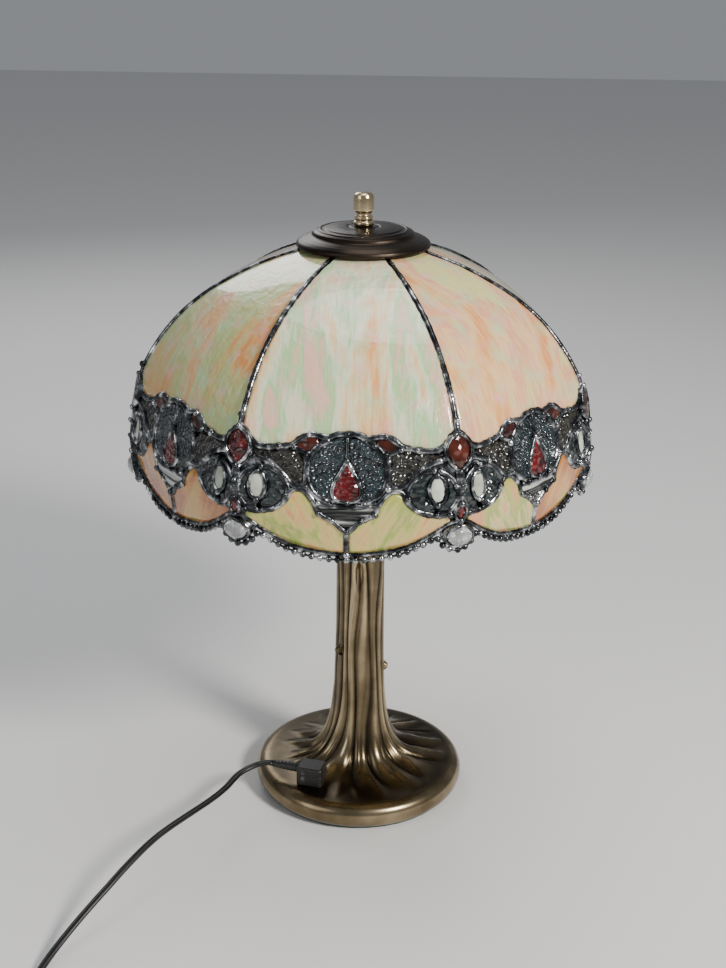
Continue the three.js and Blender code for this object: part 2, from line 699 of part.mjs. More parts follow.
function bulbGlass() {
  const bottom = bulbNeck + GAP;
  const centre = bottom + BULB_HEIGHT - BULB_RADIUS;
  const bowl = (wall) => {
    const r = BULB_RADIUS - wall;
    const points = [[0, centre + r]];
    for (let i = 1; i <= 6; i++) {
      const turn = Math.PI / 2 - (i / 6) * Math.PI * 0.68;
      points.push([r * Math.cos(turn), centre + r * Math.sin(turn)]);
    }
    const throat = BULB_BASE_RADIUS - wall;
    points.push([throat + 3, bottom + 16], [throat - 0.6, bottom]);
    return points;
  };
  const outer = bowl(0);
  const inner = bowl(BULB_WALL);
  return turned([...outer, ...inner.reverse()], 16);
}

// --- harp, seat, cap, finial --------------------------------------------------------
function harpSaddle() {
  const ear = saddleBottom + SADDLE_EAR;
  const hole = PIPE_RADIUS + GAP;
  const [h, t] = [SADDLE_HALF, SADDLE_THICKNESS];
  const outline = [
    [-h, ear], [-h, saddleBottom], [h, saddleBottom], [h, ear],
    [h - t, ear], [h - t, saddleTop], [t - h, saddleTop], [t - h, ear],
  ];
  return geometryOf(
    solidOf(slab(outline, 2 * (hole + SADDLE_SIDE))).subtract(
      solidOf(rod(hole, saddleBottom - 1, saddleTop + 1)),
    ),
  );
}

function harp() {
  const foot = SADDLE_HALF + GAP + HARP_STRIP / 2;
  const crown = crownTop - HARP_STRIP / 2;
  const half = [
    [foot, saddleBottom + 1.5], [foot, saddleBottom + SADDLE_EAR], [foot + 4, saddleBottom + 24],
    [HARP_HALF_WIDTH - 5, saddleBottom + 52], [HARP_HALF_WIDTH, saddleBottom + 84],
    [HARP_HALF_WIDTH - 4, crown - 44], [HARP_HALF_WIDTH - 14, crown - 20],
    [HARP_HALF_WIDTH - 30, crown - 4], [8, crown], [0, crown],
  ];
  const curve = new THREE.SplineCurve(half.map(([x, z]) => new THREE.Vector2(x, z)));
  const side = curve.getPoints(20).map(({ x, y }) => [x, y]);
  const loop = [...side, ...side.slice(0, -1).reverse().map(([x, z]) => [-x, z])];
  return geometryOf(
    solidOf(strip(loop, HARP_STRIP, HARP_DEPTH))
      .add(solidOf(rod(7, crown - HARP_STRIP, crownTop)))
      .add(solidOf(rod(STUD_RADIUS, crownTop - 2, studTop, 20))),
  );
}

function shadeSeat() {
  const bore = STUD_RADIUS + RUNNING_GAP;
  const plate = seatTop - SEAT_PLATE;
  return ring([
    [bore, seatBottom], [9, seatBottom], [9, plate],
    [seatRadius, plate - 1], [seatRadius, plate + SEAT_PLATE - 1],
    [NECK_RING_RADIUS + 2, seatTop], [bore, seatTop],
  ], 28);
}

function cap() {
  const bore = STUD_RADIUS + RUNNING_GAP;
  const ledge = ledgeTop;
  const R = CAP_RADIUS;
  const s = CAP_SHEET;
  const skirt = neckZ - 0.9;
  return ring([
    [R - 0.6, skirt], [R, skirt + 1.6], [R - 1.2, skirt + 4], [R - 4.2, ledge - 1.6],
    [capLedgeRadius, ledge], [capLedgeRadius - 1.4, ledge + 2.6],
    [capDiscRadius, capTop - 2.4], [12, capTop], [bore, capTop],
    [bore, capTop - s], [12, capTop - s], [capDiscRadius - s, capTop - 2.6 - s],
    [capLedgeRadius - 1.6 - s, ledge - s + 0.4], [R - 5.4, ledge - 1.6 - s], [R - s, skirt + 1.6],
    [R - 0.6 - s, skirt],
  ], 28);
}

function finial() {
  const b = finialBottom;
  const R = FINIAL_RADIUS;
  const bore = STUD_RADIUS + RUNNING_GAP;
  const top = b + FINIAL_HEIGHT;
  return turned([
    [0, b + FINIAL_BORE_DEPTH], [bore, b + FINIAL_BORE_DEPTH], [bore, b], [R - 0.6, b],
    [R, b + 1.2], [R, b + 2.8], [R - 1.4, b + 3.8], [R - 0.5, b + 4.8], [R - 0.5, b + 6.4],
    [R - 1.8, b + 7.6], [R - 1.8, b + 8.8], [R - 0.2, b + 9.8], [R, b + 11], [R, top - 3.4],
    [R - 0.8, top - 1.4], [R - 2.8, top - 0.3], [0, top],
  ], 18);
}

// --- cord ---------------------------------------------------------------------------
// The route that isn't coiled, from the strain relief to the coil.
const CORD_ROUTE = [
  [-63.3, -38.6, 31.2], [-68.3, -38, 31], [-73.4, -38.5, 30.1], [-78.1, -40.1, 29],
  [-82.5, -42.8, 28], [-86.2, -46.4, 27.3], [-89.1, -50.8, 27], [-91.5, -57.2, 27],
  [-94.2, -67.5, 27.9], [-98.5, -82, 30.3], [-104, -97, 33], [-110.2, -110, 34.8],
  [-117, -123, 36.2], [-124, -135.5, 37], [-130.8, -147, 36.8], [-137, -158, 35.6],
  [-143, -169, 33.5], [-149.5, -180.5, 30.4], [-156, -191.5, 26.4], [-163, -202, 21.8],
  [-170, -212.5, 16.8], [-177, -224, 11.6], [-183, -236, 7.2], [-187.5, -249, 4.1],
  [-190, -262, 2.6], [-190.5, -275, 2.3], [-190.4, -286.5, 2.4],
];

function strainRelief() {
  const root = RELIEF_RADIUS;
  const tip = CORD_WIDTH / 2 + 0.5;
  const start = CLAMP.length / 2 + GAP;
  const sleeve = new THREE.CylinderGeometry(tip, root, RELIEF_LENGTH, 12);
  sleeve.rotateZ(-Math.PI / 2).translate(start + RELIEF_LENGTH / 2, 0, CORD_AXIS);
  return sleeve.applyMatrix4(clampPlace);
}

function cordTube() {
  const points = CORD_ROUTE.map(([x, y, z]) => new THREE.Vector3(x, y, z));
  const route = new THREE.CatmullRomCurve3(points, false, "centripetal");
  return extrudeAlong(regular(8, CORD_THICKNESS / 2, CORD_WIDTH / 2), route, 40);
}

function cordCoil() {
  const inner = COIL.inner;
  return tubeRing(inner, coilOuter, COIL.lift, coilTop, 36).translate(COIL.x, COIL.y, 0);
}

function cordTie() {
  const outer = new THREE.BoxGeometry(
    coilOuter - COIL.inner + 6 * GAP + 2 * TIE_SHEET,
    TIE_WIDTH,
    coilTop - COIL.lift + 2 * (GAP + TIE_SHEET),
  );
  const inner = new THREE.BoxGeometry(
    coilOuter - COIL.inner + 6 * GAP,
    TIE_WIDTH + 2,
    coilTop - COIL.lift + 2 * GAP,
  );
  const loop = geometryOf(solidOf(outer).subtract(solidOf(inner)));
  const middle = (COIL.inner + coilOuter) / 2;
  return loop
    .translate(middle, 0, (COIL.lift + coilTop) / 2)
    .rotateZ(THREE.MathUtils.degToRad(60))
    .translate(COIL.x, COIL.y, 0);
}

// A flat two-pin plug, its cord end at the origin and its pins along +X.
function plug() {
  const outline = new THREE.Shape([
    new THREE.Vector2(0, -3.5), new THREE.Vector2(12, -6.5), new THREE.Vector2(PLUG_LENGTH, -6.8),
    new THREE.Vector2(PLUG_LENGTH, 6.8), new THREE.Vector2(12, 6.5), new THREE.Vector2(0, 3.5),
  ]);
  const body = new THREE.ExtrudeGeometry(outline, { depth: 9, bevelEnabled: false });
  const pin = (y) => {
    const round = new THREE.CylinderGeometry(2, 2, 20, 12).rotateZ(Math.PI / 2);
    return solidOf(round.translate(PLUG_LENGTH + 9, y, 4.5));
  };
  const whole = geometryOf(solidOf(body).add(pin(4.4)).add(pin(-4.4)));
  return whole
    .rotateZ(THREE.MathUtils.degToRad(14))
    .translate(COIL.x + 42, COIL.y - coilOuter + 4, GAP);
}

// --- assembly -------------------------------------------------------------------------
add("felt_pad", rod(BASE_RADIUS - PAD_INSET, 0, PAD_THICKNESS, 40), FINISH.felt);
add("base_casting", baseCasting(), FINISH.bronze);
add("base_weight", baseWeight(), FINISH.iron);
add(
  "pipe_washer",
  tubeRing(PIPE_RADIUS + GAP, WASHER_RADIUS, washerTop - WASHER_THICKNESS, washerTop, 24),
  FINISH.steel,
);
add("pipe_locknut", hexNut(), FINISH.steel);
add("lamp_pipe", tubeRing(PIPE_BORE, PIPE_RADIUS, pipeBottom, pipeTop, 20), FINISH.steel);
add("inner_lead", innerLead(), FINISH.cord);
add("harp_saddle", harpSaddle(), FINISH.brass);
add("harp", harp(), FINISH.brass);
add("socket_cap", socketCap(), FINISH.brass);
add("socket_shell", socketShell(), FINISH.brass);
add("socket_liner", socketLiner(), FINISH.phenolic);
add("switch_key", switchKey(), FINISH.phenolic);
add("bulb_base", bulbBase(), FINISH.steel);
add("bulb_glass", bulbGlass(), FINISH.opal);
add("shade_seat", shadeSeat(), FINISH.brass);
add("cap", cap(), FINISH.darkBronze);
add("finial", finial(), FINISH.brass);
add("cord_clamp", clampBlock(0), FINISH.phenolic);
add("strain_relief", strainRelief(), FINISH.cord);
add("cord", cordTube(), FINISH.cord);
add("cord_coil", cordCoil(), FINISH.cord);
add("cord_tie", cordTie(), FINISH.cord);
add("plug", plug(), FINISH.cord);
for (let sector = 0; sector < SECTORS; sector++) {
  const number = sector + 1;
  add(`panel_${number}`, mainPanel(sector), FINISH.opal);
  add(`band_glass_${number}`, bandPlate(sector), FINISH.band);
  add(`scallop_left_${number}`, scallopPane(sector, -1), FINISH.amber);
  add(`scallop_right_${number}`, scallopPane(sector, 1), FINISH.amber);
  add(`cabochon_${number}`, cabochon(sector), FINISH.clear);
}
add("shade_leading", leading(), FINISH.lead);

export default lamp;
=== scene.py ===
import math
from functools import partial

import bpy
import numpy as np
from mathutils import Matrix, Vector


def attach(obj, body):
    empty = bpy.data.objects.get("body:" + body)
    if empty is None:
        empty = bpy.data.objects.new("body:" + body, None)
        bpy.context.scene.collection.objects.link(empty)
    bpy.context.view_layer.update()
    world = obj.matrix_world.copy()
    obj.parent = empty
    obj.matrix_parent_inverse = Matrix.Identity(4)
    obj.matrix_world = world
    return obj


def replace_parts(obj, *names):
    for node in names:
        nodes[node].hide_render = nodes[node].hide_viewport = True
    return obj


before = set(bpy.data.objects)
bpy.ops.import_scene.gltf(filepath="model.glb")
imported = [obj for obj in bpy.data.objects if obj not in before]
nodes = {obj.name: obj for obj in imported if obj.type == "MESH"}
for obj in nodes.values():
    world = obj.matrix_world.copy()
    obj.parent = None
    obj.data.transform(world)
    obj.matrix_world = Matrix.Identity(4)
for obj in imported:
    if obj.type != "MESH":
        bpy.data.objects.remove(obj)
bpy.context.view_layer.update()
scene = bpy.context.scene
MM = 0.001

# --- camera -----------------------------------------------------------------
camera = bpy.data.objects.new("camera", bpy.data.cameras.new("camera"))
scene.collection.objects.link(camera)
camera.data.sensor_width = 36
camera.data.lens = 53.49
camera.data.clip_start = 0.02
camera.data.clip_end = 50
camera.matrix_world = Matrix(
    (
        (0.99811, -0.03019, 0.05352, 0.05777),
        (0.06077, 0.35663, -0.93227, -0.98391),
        (0.00906, 0.93376, 0.35779, 0.6247),
        (0, 0, 0, 1),
    )
)
scene.camera = camera

# --- sizes, in millimetres ----------------------------------------------------
SECTORS = 7
SECTOR = 2 * math.pi / SECTORS
NECK_RADIUS = 34.4
SHADE_RADIUS = 164
SHADE_HEIGHT = 168
RIM = 256
BAND_HEIGHT = 71.5
FLAT_ABOVE = 0.62
FLAT_AT_RIM = 0.4
ROUND_NECK = 30
SEAM_RADIUS = 159
SEAM_HALF = SEAM_RADIUS * math.sin(SECTOR / 2)
PANEL_TOP = 423.8
CABOCHON_HEIGHT = 271
GLASS = 3
BASE_TOP = 20.4
TRUNK_TOP = 250
CLAMP_PLACE = (-33.1, -45, BASE_TOP + 0.3)
CLAMP_TURN = math.radians(168)
CLAMP_SIZE = (20, 16.5, 15)
CORD_AXIS = 10.5
COIL_CENTRE = (-157.2, -306)
COIL_OUTER = 33.1
COIL_INNER = 28.0
PLUG_PLACE = (-115.2, -337.8, 0.3)
PLUG_TURN = math.radians(14)
PLUG_LENGTH = 34
PLUG_MIDDLE = 4.5
PIN_ASIDE = 4.4
PLUG_ENTRY = (-114.6, -337.6, 4.8)


# --- mesh helpers ---------------------------------------------------------------
def ease(x):
    x = np.clip(x, 0, 1)
    return x * x * (3 - 2 * x)


def mesh_piece(name, points, faces, finish, body, smooth=True, marks=None):
    """A mesh from points in millimetres, placed on a body with one finish."""
    mesh = bpy.data.meshes.new(name)
    mesh.from_pydata((np.asarray(points, float) * MM).tolist(), [], faces)
    mesh.update()
    if smooth:
        mesh.shade_smooth()
    for key, values in (marks or {}).items():
        layer = mesh.attributes.new(key, "FLOAT", "POINT")
        layer.data.foreach_set("value", np.asarray(values, np.float32))
    piece = bpy.data.objects.new(name, mesh)
    scene.collection.objects.link(piece)
    mesh.materials.append(finish)
    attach(piece, body)
    return piece


def shell_faces(rows, columns, wrap_rows=False, wrap_columns=False):
    faces = []
    for j in range(rows if wrap_rows else rows - 1):
        for i in range(columns if wrap_columns else columns - 1):
            a, b = j * columns + i, j * columns + (i + 1) % columns
            below = ((j + 1) % rows) * columns
            faces.append((a, b, below + (i + 1) % columns, below + i))
    return faces


class Builder:
    """Gathers closed shells that end up in one mesh."""

    def __init__(self):
        self.points = []
        self.faces = []
        self.count = 0

    def add(self, points, faces):
        points = np.asarray(points, float).reshape(-1, 3)
        volume = 0
        for face in faces:
            a = points[face[0]]
            for k in range(1, len(face) - 1):
                volume += np.dot(a, np.cross(points[face[k]], points[face[k + 1]]))
        for face in faces:
            turned = face if volume > 0 else face[::-1]
            self.faces.append(tuple(v + self.count for v in turned))
        self.points.append(points)
        self.count += len(points)

    def piece(self, name, finish, body, slot, smooth=True):
        return mesh_piece(name, np.vstack(self.points), self.faces, finish, body, smooth)


def capped_rings(rings):
    """Rings of one size joined up, and closed flat at both ends."""
    count = len(rings[0])
    faces = shell_faces(len(rings), count, wrap_columns=True)
    last = (len(rings) - 1) * count
    faces.append(tuple(range(count))[::-1])
    faces.append(tuple(last + k for k in range(count)))
    return np.vstack(rings), faces


def tube(centres, sides, section):
    """Rings of section offsets (side, up) carried along the centres, closed at both ends."""
    return capped_rings(
        [
            centre + np.outer(section[:, 0], side) + np.outer(section[:, 1], up)
            for centre, (side, up) in zip(centres, sides)
        ]
    )


def turned_to(points, place, turn):
    """Points turned about the vertical, then moved to a place."""
    c, s = math.cos(turn), math.sin(turn)
    points = np.asarray(points, float)
    x = place[0] + points[:, 0] * c - points[:, 1] * s
    y = place[1] + points[:, 0] * s + points[:, 1] * c
    return np.stack([x, y, points[:, 2] + place[2]], axis=1)


def turn_from(turns, middle):
    """Angles measured from a middle one, between -180 and 180 degrees."""
    return (turns - middle + math.pi) % (2 * math.pi) - math.pi


def lathe(outline, segments):
    """A closed outline of (radius, height) turned about the lamp's axis."""
    points, faces, rings = [], [], []
    for r, z in outline:
        if r < 1e-6:
            rings.append([len(points)])
            points.append((0, 0, z))
            continue
        rings.append(list(range(len(points), len(points) + segments)))
        for k in range(segments):
            turn = 2 * math.pi * k / segments
            points.append((r * math.sin(turn), -r * math.cos(turn), z))
    closed = rings + [rings[0]]
    for one, two in zip(closed, closed[1:]):
        for k in range(segments):
            n = (k + 1) % segments
            if len(one) == 1 and len(two) == 1:
                break
            if len(one) == 1:
                faces.append((one[0], two[n], two[k]))
            elif len(two) == 1:
                faces.append((one[k], one[n], two[0]))
            else:
                faces.append((one[k], one[n], two[n], two[k]))
    return points, faces


def rounded(outline, steps=3, radius=0.5, closed=True):
    """The outline with each corner turned over a small arc."""
    result = []
    count = len(outline)
    for i, here in enumerate(outline):
        here = np.array(here, float)
        if here[0] < 1e-6 or (not closed and i in (0, count - 1)):
            result.append(tuple(here))
            continue
        before = np.array(outline[i - 1], float)
        after = np.array(outline[(i + 1) % count], float)
        into, out = before - here, after - here
        reach = min(radius, 0.4 * np.linalg.norm(into), 0.4 * np.linalg.norm(out))
        a = here + into / np.linalg.norm(into) * reach
        b = here + out / np.linalg.norm(out) * reach
        for k in range(steps + 1):
            u = k / steps
            result.append(tuple((1 - u) ** 2 * a + 2 * u * (1 - u) * here + u * u * b))
    return result


def catmull(points, count):
    """A smooth line through the points, sampled evenly in its own parameter."""
    points = np.asarray(points, float)
    ends = np.vstack([2 * points[0] - points[1], points, 2 * points[-1] - points[-2]])
    knots = np.r_[0, np.cumsum(np.sqrt(np.linalg.norm(np.diff(ends, axis=0), axis=1)))]
    steps = np.linspace(knots[1], knots[-2], count)
    result = []
    for t in steps:
        k = min(max(int(np.searchsorted(knots, t, "right")) - 1, 1), len(ends) - 3)
        t0, t1, t2, t3 = knots[k - 1 : k + 3]
        p0, p1, p2, p3 = ends[k - 1 : k + 3]
        a1 = (t1 - t) / (t1 - t0) * p0 + (t - t0) / (t1 - t0) * p1
        a2 = (t2 - t) / (t2 - t1) * p1 + (t - t1) / (t2 - t1) * p2
        a3 = (t3 - t) / (t3 - t2) * p2 + (t - t2) / (t3 - t2) * p3
        b1 = (t2 - t) / (t2 - t0) * a1 + (t - t0) / (t2 - t0) * a2
        b2 = (t3 - t) / (t3 - t1) * a2 + (t - t1) / (t3 - t1) * a3
        result.append((t2 - t) / (t2 - t1) * b1 + (t - t1) / (t2 - t1) * b2)
    return np.array(result)


# --- node helpers ---------------------------------------------------------------
def put(tree, kind, links=None, **props):
    made = tree.nodes.new(kind)
    for key, value in props.items():
        setattr(made, key, value)
    for key, value in (links or {}).items():
        socket = made.inputs[key]
        if isinstance(value, bpy.types.NodeSocket):
            tree.links.new(value, socket)
        else:
            socket.default_value = value
    return made


def maths(tree, operation, a, b=0.0, c=0.0):
    return put(tree, "ShaderNodeMath", {0: a, 1: b, 2: c}, operation=operation).outputs[0]


def ramp(tree, value, *stops):
    made = put(tree, "ShaderNodeValToRGB", {0: value})
    scale = made.color_ramp
    while len(scale.elements) < len(stops):
        scale.elements.new(0.5)
    for element, (place, colour) in zip(scale.elements, stops):
        element.position = place
        shade = (colour,) * 3 if isinstance(colour, (int, float)) else colour
        element.color = (*shade, 1)
    return made.outputs[0]


def mixed(tree, factor, a, b, blend="MIX"):
    made = put(tree, "ShaderNodeMix", data_type="RGBA", blend_type=blend)
    sockets = {s.identifier: s for s in made.inputs}
    for key, value in (("Factor_Float", factor), ("A_Color", a), ("B_Color", b)):
        if isinstance(value, bpy.types.NodeSocket):
            tree.links.new(value, sockets[key])
        else:
            sockets[key].default_value = value if key == "Factor_Float" else (*value, 1)
    return next(s for s in made.outputs if s.identifier == "Result_Color")


def noise(tree, vector, scale, detail, roughness=0.5, distortion=0.0):
    links = {
        "Vector": vector, "Scale": scale, "Detail": detail, "Roughness": roughness,
        "Distortion": distortion,
    }
    return put(tree, "ShaderNodeTexNoise", links).outputs[0]


def mapped(tree, vector, **moves):
    """The vector after a Mapping node; moves holds its Location or its Scale."""
    return put(tree, "ShaderNodeMapping", {"Vector": vector, **moves}).outputs[0]


def new_group(name, inputs, outputs, kind_of_tree="ShaderNodeTree"):
    tree = bpy.data.node_groups.new(name, kind_of_tree)
    for label, kind, default in inputs:
        socket = tree.interface.new_socket(label, in_out="INPUT", socket_type=kind)
        if default is not None:
            socket.default_value = default
    for label, kind in outputs:
        tree.interface.new_socket(label, in_out="OUTPUT", socket_type=kind)
    return tree, tree.nodes.new("NodeGroupInput"), tree.nodes.new("NodeGroupOutput")


def place_group(tree, group, values):
    made = tree.nodes.new("ShaderNodeGroup")
    made.node_tree = group
    for key, value in values.items():
        if isinstance(value, bpy.types.NodeSocket):
            tree.links.new(value, made.inputs[key])
        else:
            made.inputs[key].default_value = value
    return made


VECTOR, FLOAT = "NodeSocketVector", "NodeSocketFloat"


def hand_wear_group():
    """Cloudy tone and fine grain that every metal and moulded piece shows."""
    tree, given, made = new_group(
        "hand_wear",
        [("Vector", VECTOR, None), ("Cloud Scale", FLOAT, 40.0), ("Grain Scale", FLOAT, 900.0)],
        [("Cloud", FLOAT), ("Grain", FLOAT), ("Scuffs", FLOAT)],
    )
    vector, cloud_scale = given.outputs["Vector"], given.outputs["Cloud Scale"]
    cloud = noise(tree, vector, cloud_scale, 5.0)
    grain = noise(tree, vector, given.outputs["Grain Scale"], 3.0)
    scratch = noise(tree, mapped(tree, vector, Scale=(1, 1, 9)), cloud_scale, 8.0, 0.75)
    scuffs = maths(tree, "SUBTRACT", scratch, 0.56)
    scuffs = maths(tree, "MULTIPLY", maths(tree, "MAXIMUM", scuffs, 0.0), 5.0)
    tree.links.new(cloud, made.inputs["Cloud"])
    tree.links.new(grain, made.inputs["Grain"])
    tree.links.new(scuffs, made.inputs["Scuffs"])
    return tree


def silky_streaks_group():
    """Streaks of poured glass: broad drifts of colour, fine silky lines and a ripple."""
    tree, given, made = new_group(
        "silky_streaks",
        [("Vector", VECTOR, None), ("Offset", VECTOR, (0, 0, 0)), ("Drift Scale", FLOAT, 3.0)],
        [("Drift", FLOAT), ("Streak", FLOAT), ("Ripple", FLOAT)],
    )
    moved = put(
        tree,
        "ShaderNodeVectorMath",
        {0: given.outputs["Vector"], 1: given.outputs["Offset"]},
        operation="ADD",
    ).outputs[0]
    drift_way = mapped(tree, moved, Scale=(1, 0.36, 1))
    drift = noise(tree, drift_way, given.outputs["Drift Scale"], 3.0, distortion=0.7)
    streak = noise(tree, mapped(tree, moved, Scale=(30, 3.2, 1)), 1.0, 5.0, 0.6)
    ripple = noise(tree, moved, 16.0, 2.0, distortion=0.4)
    for label, value in (("Drift", drift), ("Streak", streak), ("Ripple", ripple)):
        tree.links.new(value, made.inputs[label])
    return tree


HAND_WEAR = hand_wear_group()
SILKY_STREAKS = silky_streaks_group()


def new_finish(name, shader_values):
    material = bpy.data.materials.new(name)
    material.use_nodes = True
    tree = material.node_tree
    shader = tree.nodes["Principled BSDF"]
    for key, value in shader_values.items():
        shader.inputs[key].default_value = value
    return material, tree, shader


def bumped(tree, shader, height, strength, distance):
    bump = put(
        tree,
        "ShaderNodeBump",
        {"Height": height, "Strength": strength, "Distance": distance},
    )
    tree.links.new(bump.outputs[0], shader.inputs["Normal"])


def object_vector(tree):
    return tree.nodes.new("ShaderNodeTexCoord").outputs["Object"]


def worn(tree, vector, cloud, grain):
    """What the hand_wear group gives at a finish's own scales."""
    values = {"Vector": vector, "Cloud Scale": cloud, "Grain Scale": grain}
    return place_group(tree, HAND_WEAR, values).outputs


def metal_finish(name, dark, light, rough, cloud=40.0, grain=900.0, metallic=1.0):
    """A worn metal or moulding: tone between dark and light, rough between two values."""
    material, tree, shader = new_finish(name, {"Metallic": metallic})
    wear = worn(tree, object_vector(tree), cloud, grain)
    tone = ramp(tree, wear["Cloud"], (0.35, dark), (0.65, light))
    tree.links.new(tone, shader.inputs["Base Color"])
    spread = maths(tree, "MULTIPLY_ADD", wear["Cloud"], rough[1] - rough[0], rough[0])
    spread = maths(tree, "MULTIPLY_ADD", wear["Scuffs"], 0.06, spread)
    tree.links.new(spread, shader.inputs["Roughness"])
    bumped(tree, shader, wear["Grain"], 0.12, 0.0003)
    return material


def bronze_finish():
    """Antique bronze: dark brown in the valleys, rubbed to gold on the ridges."""
    material, tree, shader = new_finish("antique_bronze", {"Metallic": 1.0})
    wear = worn(tree, object_vector(tree), 34.0, 1400.0)
    ridge = put(tree, "ShaderNodeAttribute", attribute_name="ridge").outputs["Fac"]
    rubbed = maths(tree, "MULTIPLY_ADD", wear["Cloud"], 0.7, -0.35)
    rubbed = maths(tree, "ADD", ridge, rubbed)
    tone = ramp(
        tree,
        rubbed,
        (0.1, (0.012, 0.009, 0.006)),
        (0.42, (0.052, 0.04, 0.024)),
        (0.74, (0.17, 0.13, 0.076)),
        (1.0, (0.46, 0.37, 0.23)),
    )
    tree.links.new(tone, shader.inputs["Base Color"])
    rough = maths(tree, "MULTIPLY_ADD", rubbed, -0.16, 0.38)
    rough = maths(tree, "MULTIPLY_ADD", wear["Scuffs"], 0.05, rough)
    tree.links.new(rough, shader.inputs["Roughness"])
    bumped(tree, shader, wear["Grain"], 0.1, 0.0003)
    return material


def solder_finish():
    """Lead and solder with a dark patina; its bright silver patches, laid at random, are painted
    highlights.
    """
    material, tree, shader = new_finish("leading", {"Metallic": 1.0})
    vector = object_vector(tree)
    wear = worn(tree, vector, 150.0, 700.0)
    # The dark and middle stops are the patina's own tone; the near-white stop is painted highlight.
    tone = ramp(
        tree,
        wear["Cloud"],
        (0.4, (0.03, 0.033, 0.037)),
        (0.54, (0.14, 0.147, 0.155)),
        (0.66, (0.62, 0.63, 0.64)),
    )
    tree.links.new(tone, shader.inputs["Base Color"])
    rough = maths(tree, "MULTIPLY_ADD", wear["Cloud"], -0.3, 0.38)
    tree.links.new(rough, shader.inputs["Roughness"])
    bumped(tree, shader, noise(tree, vector, 260.0, 2.0), 0.5, 0.0012)
    return material


# Painted sheen colours: the glass's iridescent sheen, painted into its base colour.
MINT_PAINTED_SHEEN, ROSE_PAINTED_SHEEN = (0.42, 0.66, 0.40), (0.78, 0.44, 0.42)


def opal_finish(name, offset, stops, drift=2.4, sheen=True):
    """Opalescent glass in silky streaks, with mint and rose patches painted in as its iridescent
    sheen.
    """
    material, tree, shader = new_finish(
        name, {"IOR": 1.52, "Coat Weight": 1.0, "Coat Roughness": 0.05}
    )
    uv = put(tree, "ShaderNodeUVMap", uv_map="pour").outputs[0]
    streaks = place_group(
        tree,
        SILKY_STREAKS,
        {"Vector": uv, "Offset": offset, "Drift Scale": drift},
    )
    blend = maths(
        tree, "MULTIPLY_ADD", streaks.outputs["Streak"], 0.32, streaks.outputs["Drift"]
    )
    tone = ramp(tree, maths(tree, "MULTIPLY_ADD", blend, 1.35, -0.391), *stops)
    # Painted sheen: mint and rose patches in the base colour stand in for the iridescent sheen.
    if sheen:
        aside = mapped(tree, uv, Location=(3.1, 1.7, 0))
        for vector, scale, level, most, sheen_colour in (
            (uv, 5.5, -1.5, 0.6, MINT_PAINTED_SHEEN),
            (aside, 6.5, -1.62, 0.55, ROSE_PAINTED_SHEEN),
        ):
            share = maths(tree, "MULTIPLY_ADD", noise(tree, vector, scale, 2.0), 3.0, level)
            share = put(tree, "ShaderNodeClamp", {0: share, 2: most}).outputs[0]
            tone = mixed(tree, share, tone, sheen_colour)
    tree.links.new(tone, shader.inputs["Base Color"])
    rough = maths(tree, "MULTIPLY_ADD", streaks.outputs["Streak"], 0.22, 0.14)
    tree.links.new(rough, shader.inputs["Roughness"])
    height = maths(
        tree, "MULTIPLY_ADD", streaks.outputs["Streak"], 0.6, streaks.outputs["Ripple"]
    )
    bumped(tree, shader, height, 0.45, 0.0016)
    return material


def jewel_finish(
    name, deep, pale, scale, strength, clear=0.0, stretch=(1, 1, 1), spread=(0.36, 0.66)
):
    """A cut or rolled jewel: deep colour with brighter seeds and a textured face."""
    material, tree, shader = new_finish(
        name,
        {
            "IOR": 1.54,
            "Roughness": 0.09,
            "Coat Weight": 0.25,
            "Coat Roughness": 0.03,
            "Transmission Weight": clear,
        },
    )
    way = mapped(tree, object_vector(tree), Scale=stretch)
    cells = put(tree, "ShaderNodeTexVoronoi", {"Vector": way, "Scale": scale})
    cloud = noise(tree, way, scale * 0.5, 4.0)
    tone = ramp(tree, cloud, (spread[0], deep), (spread[1], pale))
    tree.links.new(tone, shader.inputs["Base Color"])
    bumped(tree, shader, cells.outputs["Distance"], strength, 0.002)
    return material


def bulb_finish():
    """The bulb's frosted white glass."""
    material, tree, shader = new_finish(
        "bulb_white", {"Roughness": 0.35, "Coat Weight": 0.6, "Coat Roughness": 0.1}
    )
    wear = worn(tree, object_vector(tree), 25.0, 1500.0)
    tone = ramp(tree, wear["Cloud"], (0.3, (0.80, 0.80, 0.76)), (0.7, (0.88, 0.88, 0.85)))
    tree.links.new(tone, shader.inputs["Base Color"])
    bumped(tree, shader, wear["Grain"], 0.08, 0.0002)
    return material


